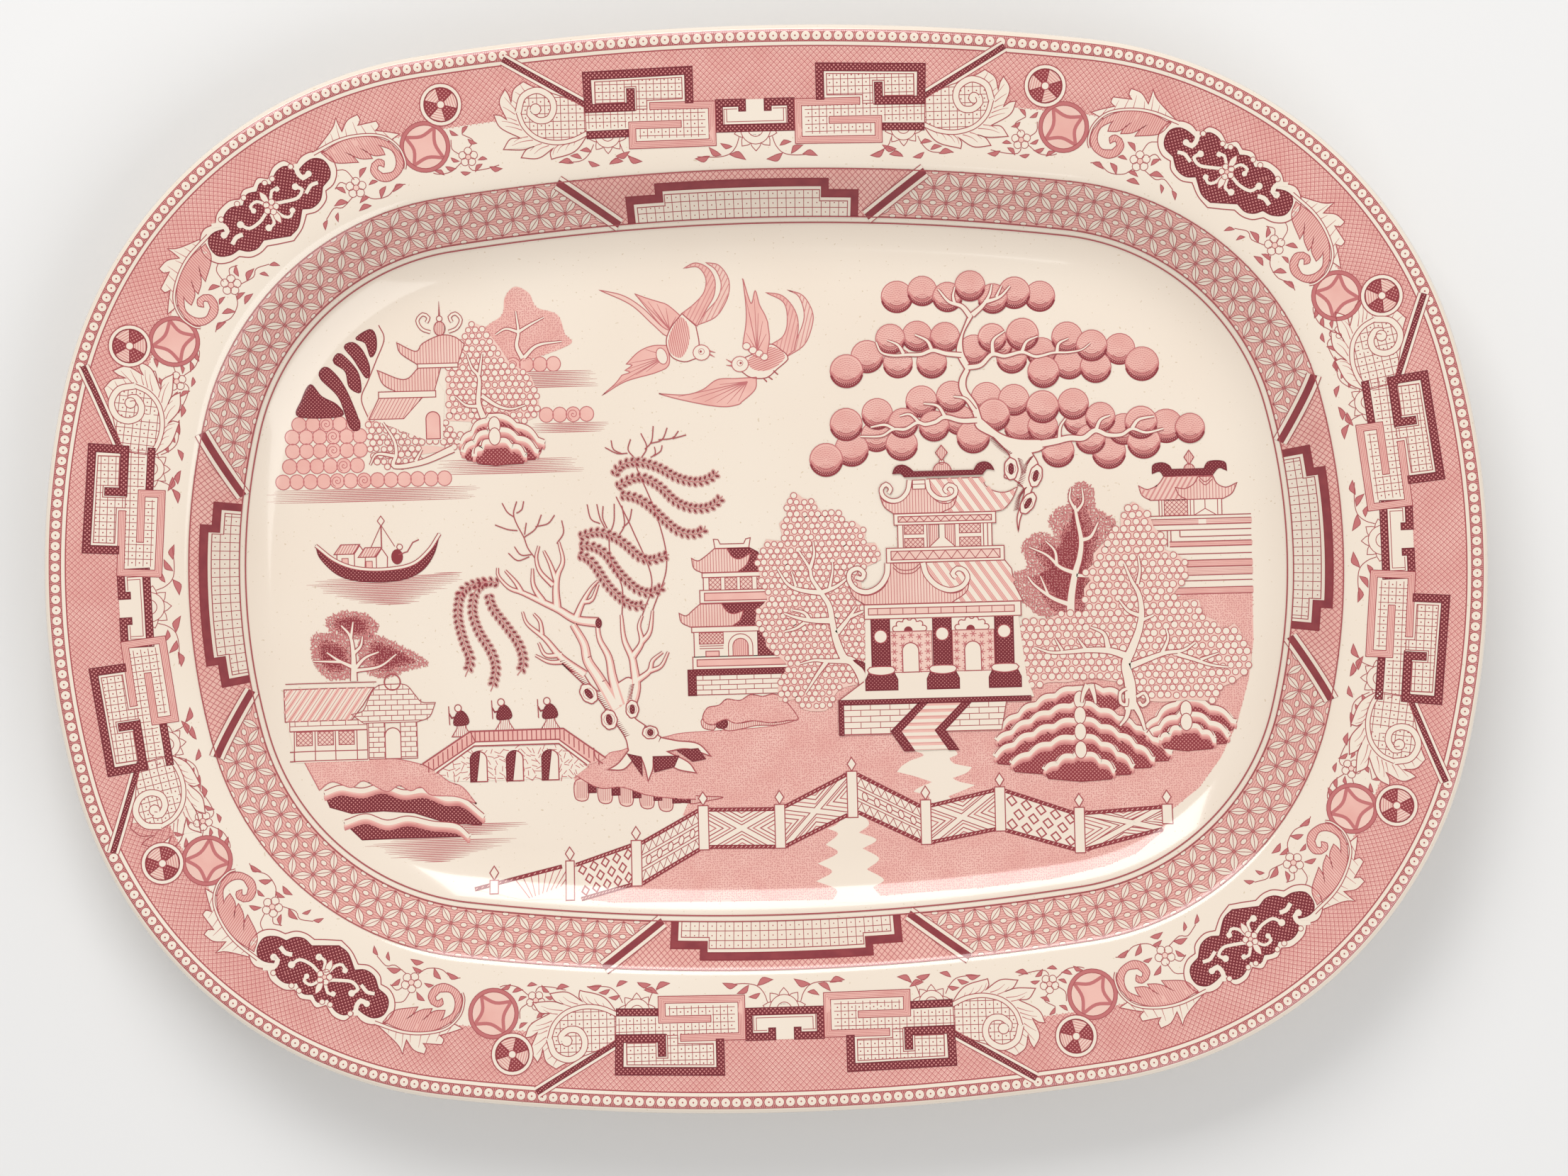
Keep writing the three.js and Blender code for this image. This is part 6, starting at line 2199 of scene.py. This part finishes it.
def draw_birds(pen):
    wing = pieced([(-45.8, 81.4), (-39, 79.6), (-33.6, 76), (-28, 70.4), (-25, 69)],
                  [(-25, 69), (-27, 67.8), (-31, 71.4), (-37, 77), (-45.8, 81.4)])
    bundle = pieced([(-35.6, 80), (-28, 70.4), (-25, 69.4)], [(-25, 69.4), (-21.4, 71.6)],
                    [(-21.4, 71.6), (-23, 73.6), (-26.4, 76.6), (-29, 77.6), (-32, 78.6), (-35.6, 80)])
    plume(pen, bundle, fan((-26, 69.6),
                           [(-34.6, 79), (-32, 77.8), (-29.4, 77), (-26.8, 75.8), (-24, 73.2),
                            (-30.6, 75.4)]), "pale")
    plume(pen.up(3), wing, [])
    low_wing = pieced([(-26.6, 65), (-31, 65), (-35, 63.4), (-38.6, 60)],
                      [(-38.6, 60), (-37, 59.6), (-39, 58.2)], [(-39, 58.2), (-37.6, 57.6), (-40, 56.8)],
                      [(-40, 56.8), (-42, 54.4), (-45.8, 51.2)],
                      [(-45.8, 51.2), (-39, 55), (-30, 57.4), (-26.4, 59.6), (-26.6, 65)])
    plume(pen, low_wing, fan((-27, 62),
                             [(-37.6, 60.2), (-38, 58.6), (-39, 57), (-43, 53.4), (-36, 56.8), (-33, 57.6),
                              (-33, 64)]), "pale")
    pen.up(4).form(oval((-28.4, 62), 1.5, 2.4, 0.3), "ivory", 0.25, "mid", curved=False)
    tails = (
        pieced([(-22.4, 74), (-18.6, 76.8), (-15.8, 80), (-15.2, 84), (-17.4, 87.2), (-21.4, 87)],
               [(-21.4, 87), (-18, 88.4), (-14.4, 86.8), (-12.6, 83.4), (-13, 79), (-15.2, 75.2),
                (-18, 70.4)], [(-18, 70.4), (-22.4, 74)]),
        pieced([(-15, 88.4), (-11.4, 87.6), (-8.8, 84), (-8.6, 80), (-10.2, 76), (-13, 72.6),
                (-18.6, 70.4)], [(-18.6, 70.4), (-15.2, 74.4), (-12, 78), (-10.8, 82), (-12.2, 86.2),
                                 (-15, 88.4)]),
        pieced([(3, 64.4), (6.6, 66.8), (7.9, 71), (7, 76.4), (2, 79.4)],
               [(2, 79.4), (6.6, 78.4), (10, 74.4), (11, 69.4), (9.6, 62.6)],
               [(9.6, 62.6), (6, 60.6), (3, 64.4)]),
        pieced([(8.2, 80), (12.6, 78.2), (15.2, 73.4), (14.8, 69), (12.4, 64), (7, 60.6)],
               [(7, 60.6), (11, 67), (12.8, 72.6), (11.4, 78), (8.2, 80)]),
    )
    for k, tail in enumerate(tails):
        plume(pen.up(2 - 2 * (k % 2)), tail, [], "pale" if k % 2 == 0 else "blush")
        pen.up(4 - 2 * (k % 2)).hatch(tail, 62 if k < 2 else 75, 1.1, 0.26, "soft")
    body = pieced([(-22.3, 74), (-25.6, 70), (-27, 66), (-25.6, 61.8), (-22, 60.2), (-18.8, 61)],
                  [(-18.8, 61), (-17.6, 65), (-18.4, 70.4)], [(-18.4, 70.4), (-22.3, 74)])
    pen.up(6).form(body, "ivory", 0.3, curved=False)
    pen.up(7).area(smooth([(-22.8, 73), (-26, 68), (-26.2, 63.4), (-23, 61.4), (-20.6, 65), (-20.4, 70)],
                          True), "pale")
    pen.up(8).hatch(smooth([(-22.8, 73), (-26, 68), (-26.2, 63.4), (-23, 61.4), (-20.6, 65), (-20.4, 70)],
                           True), 100, 0.6, 0.18, "mid")
    belly = pieced([(-5.4, 56.8), (-3, 55.2), (1.4, 55), (4.6, 57.4), (7.8, 60.2), (7, 62)],
                   [(7, 62), (3, 64.6), (-1, 62.4), (-4.4, 61)], [(-4.4, 61), (-5.4, 56.8)])
    pen.up(6).form(belly, "ivory", 0.3, curved=False)
    pen.up(7).area(smooth([(-3.6, 60.4), (-2, 57.4), (3, 57.4), (7, 61), (3, 63.8)], True), "pale")
    pen.up(8).hatch(smooth([(-3.6, 60.4), (-2, 57.4), (3, 57.4), (7, 61), (3, 63.8)], True), 20, 0.6, 0.18,
                    "mid")
    upper = pieced([(1.6, 60.8), (2.6, 66), (2.2, 71)], [(2.2, 71), (1.4, 73.2)], [(1.4, 73.2), (0, 76)],
                   [(0, 76), (-1.1, 80)], [(-1.1, 80), (-2.4, 76.4)],
                   [(-2.4, 76.4), (-4.5, 83.4)], [(-4.5, 83.4), (-3.8, 73), (-5, 64.6)],
                   [(-5, 64.6), (-1.8, 61.4), (1.6, 60.8)])
    plume(pen.up(9), upper, fan((-1, 62.6),
                                [(-4, 79), (-3, 74), (-1.4, 77.6), (-0.4, 73.6), (0.8, 71.2), (1.8, 67.6),
                                 (-4, 68)]), "pale")
    for place in ((-4, 64.2), (-2.2, 63), (-0.4, 62), (1, 61)):
        pen.up(12).form(oval(place, 1.1, 1), "ivory", 0.25, "mid", curved=False)
    lower = pieced([(-29.4, 51.2), (-22, 50.7), (-17, 52), (-12.6, 54.8), (-7, 55), (-1.4, 55.2)],
                   [(-1.4, 55.2), (-2, 51.6), (-6.6, 47.6)], [(-6.6, 47.6), (-10.2, 47)],
                   [(-10.2, 47), (-15.6, 47.6)], [(-15.6, 47.6), (-24.2, 49.6)],
                   [(-24.2, 49.6), (-29.4, 51.2)])
    plume(pen.up(5), lower, fan((-4, 54),
                                [(-6.8, 48.4), (-10, 47.8), (-13, 48.2), (-16.4, 48.6), (-20, 49.4),
                                 (-24, 50.2), (-12, 53.4)]), "pale")
    for (x, y), beak in (((-17, 62.7), ((-13, 62.6), (-13.2, 61.3))),
                         ((-6, 59.1), ((-10, 60.6), (-10, 58.9)))):
        for tip, rise in zip(beak, (0.45, -0.45)):
            middle = x + math.copysign(2.2, tip[0] - x)
            pen.up(13).line([(middle, y + rise), tip], 0.5, "mid", to=0.12)
        pen.up(14).form(oval((x, y), 2.4, 2.2), "ivory", 0.26, "mid", curved=False)
        pen.up(16).disc((x - math.copysign(0.2, tip[0] - x), y + 0.3), 0.36, "line")
        pen.up(16).line(arc((x, y + 0.3), 0.85, 0, 360, 14), 0.14, "mid")
    for start, stop in (((0.5, 55), (1.6, 53.8)), ((2, 55.3), (3.2, 54.4)), ((3.5, 57), (4.8, 55.8))):
        pen.up(8).line([start, stop], 0.35)


# ------------------------------------------------------------------ border: beads, stripe and net
BEAD_COUNT, BEAD_ROW, BEAD_RADIUS = 388, 3.3, 1.36
BEAD_BAND = (1.6, 4.85)
NET_TOP, NET_FOOT = 6.1, 21.0
NET_PITCH, NET_TALL = 1.75, 1.75


def loop_line(pen, depth, width, ink):
    """A line all the way round at one distance from the lip."""
    s = np.linspace(0, PERIMETER, 1185)[:-1]
    pen.line(np.stack([s, np.full_like(s, depth)], 1), width, ink, closed=True)


def loop_band(pen, outer, inner, ink):
    loop_line(pen, (outer + inner) / 2, inner - outer, ink)


def make_beads():
    art = Artwork("print_beads")
    pen = Pen(art, around)
    loop_band(pen, *BEAD_BAND, "soft")
    for depth in BEAD_BAND:
        loop_line(pen.up(1), depth, 0.2, "line")
    pitch = PERIMETER / BEAD_COUNT
    for i in range(BEAD_COUNT):
        s = i * pitch
        for side in (0.34, 0.5, 0.66):
            for a, b in ((1.7, 2.55), (3.95, 4.8)):
                place = [(s + side * pitch, a), (s + side * pitch, b)]
                pen.up(1).line(place, 0.16, "dark")
        pen.up(2).disc((s, BEAD_ROW), BEAD_RADIUS, "ivory", 14)
        pen.up(3).ring((s, BEAD_ROW), BEAD_RADIUS, 0.2, "line", 14)
        pen.up(3).disc((s, BEAD_ROW), 0.27, "line", 6)
    lay(art)


def make_net():
    """The diamond net: a pale ground with two sets of slanting lines and a chevron in each mesh."""
    art = Artwork("print_net")
    pen = Pen(art, around)
    loop_band(pen, NET_TOP, NET_FOOT, "pale")
    loop_line(pen.up(2), NET_TOP, 0.35, "line")
    draw_net(pen.up(1), 0, PERIMETER, NET_TOP, NET_FOOT)
    lay(art)


def draw_net(pen, start, stop, outer, inner):
    """Slanting lines both ways across a stretch of the strip, with a chevron in each mesh."""
    count = int(round((stop - start) / NET_PITCH))
    pitch = (stop - start) / count
    rise = inner - outer
    lean = rise / NET_TALL * pitch
    for i in range(count):
        for way in (-1, 1):
            foot = start + i * pitch
            ends = np.array([(foot, outer), (foot + way * lean, inner)])
            pen.line(spaced(ends, 4), 0.2, "mid")
    s, row = np.meshgrid(start + np.arange(count) * pitch, np.arange(int(rise / NET_TALL * 2)))
    s = s + (row % 2) * pitch / 2
    t = outer + (row + 1) * NET_TALL / 2
    middle = np.stack([s, t], -1).reshape(-1, 1, 2)
    wide, tall = pitch * 0.24, NET_TALL * 0.24
    for way in (-1, 1):
        stroke = np.array([(way * wide, -0.1), (0, tall), (0, tall - 0.22), (way * (wide - 0.2), -0.1)])
        quads = (middle + stroke).reshape(-1, 2)
        pen.art.quads.append((pen.level, "soft", pen.placed(quads).reshape(-1, 4, 2)))


# ------------------------------------------------------------------ stage, light and camera
def make_stage():
    mesh = bpy.data.meshes.new("floor")
    reach = 3.0
    corners = [(-reach, -reach, 0), (reach, -reach, 0), (reach, reach, 0), (-reach, reach, 0)]
    mesh.from_pydata(corners, [], [(0, 1, 2, 3)])
    floor = bpy.data.objects.new("floor", mesh)
    bpy.context.collection.objects.link(floor)
    material = bpy.data.materials.new("floor_paper")
    material.use_nodes = True
    shader = material.node_tree.nodes["Principled BSDF"]
    shader.inputs["Base Color"].default_value = colour(236, 236, 236)
    shader.inputs["Roughness"].default_value = 0.9
    mesh.materials.append(material)
    floor.location.z = -0.0002


def area_light(name, place, aim, size, power, tint=(1, 1, 1)):
    light = bpy.data.lights.new(name, "AREA")
    light.shape = "RECTANGLE"
    light.size, light.size_y = size
    light.energy = power
    light.color = tint
    lamp = bpy.data.objects.new(name, light)
    bpy.context.collection.objects.link(lamp)
    lamp.location = place
    lamp.rotation_euler = (Vector(aim) - Vector(place)).to_track_quat("-Z", "Y").to_euler()


KEY_POWER, FILL_POWER, ROOM_LIGHT = 16.0, 11.0, 0.51


def make_lights():
    area_light("key", (-0.35, 1.15, 1.25), (0, 0, 0), (1.1, 0.8), KEY_POWER, (1, 0.99, 0.975))
    area_light("fill", (0.9, -0.9, 1.5), (0, 0, 0), (1.6, 1.2), FILL_POWER)
    world = bpy.data.worlds.new("studio")
    world.use_nodes = True
    world.node_tree.nodes["Background"].inputs["Color"].default_value = (1, 0.99, 0.975, 1)
    world.node_tree.nodes["Background"].inputs["Strength"].default_value = ROOM_LIGHT
    bpy.context.scene.world = world


LENS, SENSOR = 85, 36
EYE = (0.0095, 0.0111, 1.0726)  # metres, over the middle of the platter
GAZE, UPRIGHT = (-0.0043, -0.0156, -0.9999), (0.0263, 0.9995, -0.0157)  # where it looks, and its up


def make_camera():
    """A view almost straight down on the platter, with a small roll."""
    camera = bpy.data.cameras.new("camera")
    camera.lens = LENS
    camera.sensor_width = SENSOR
    eye = bpy.data.objects.new("camera", camera)
    bpy.context.collection.objects.link(eye)
    back = -Vector(GAZE).normalized()
    right = Vector(UPRIGHT).cross(back).normalized()
    up = back.cross(right)
    turn = Matrix((right, up, back)).transposed()
    eye.matrix_world = Matrix.Translation(EYE) @ turn.to_4x4()
    bpy.context.scene.camera = eye


make_body()
make_beads()
make_net()
make_border()
make_band()
make_ground()
make_fence()
make_buildings()
make_trees()
make_stage()
make_lights()
make_camera()
view = bpy.context.scene.view_settings
view.view_transform = "Standard"
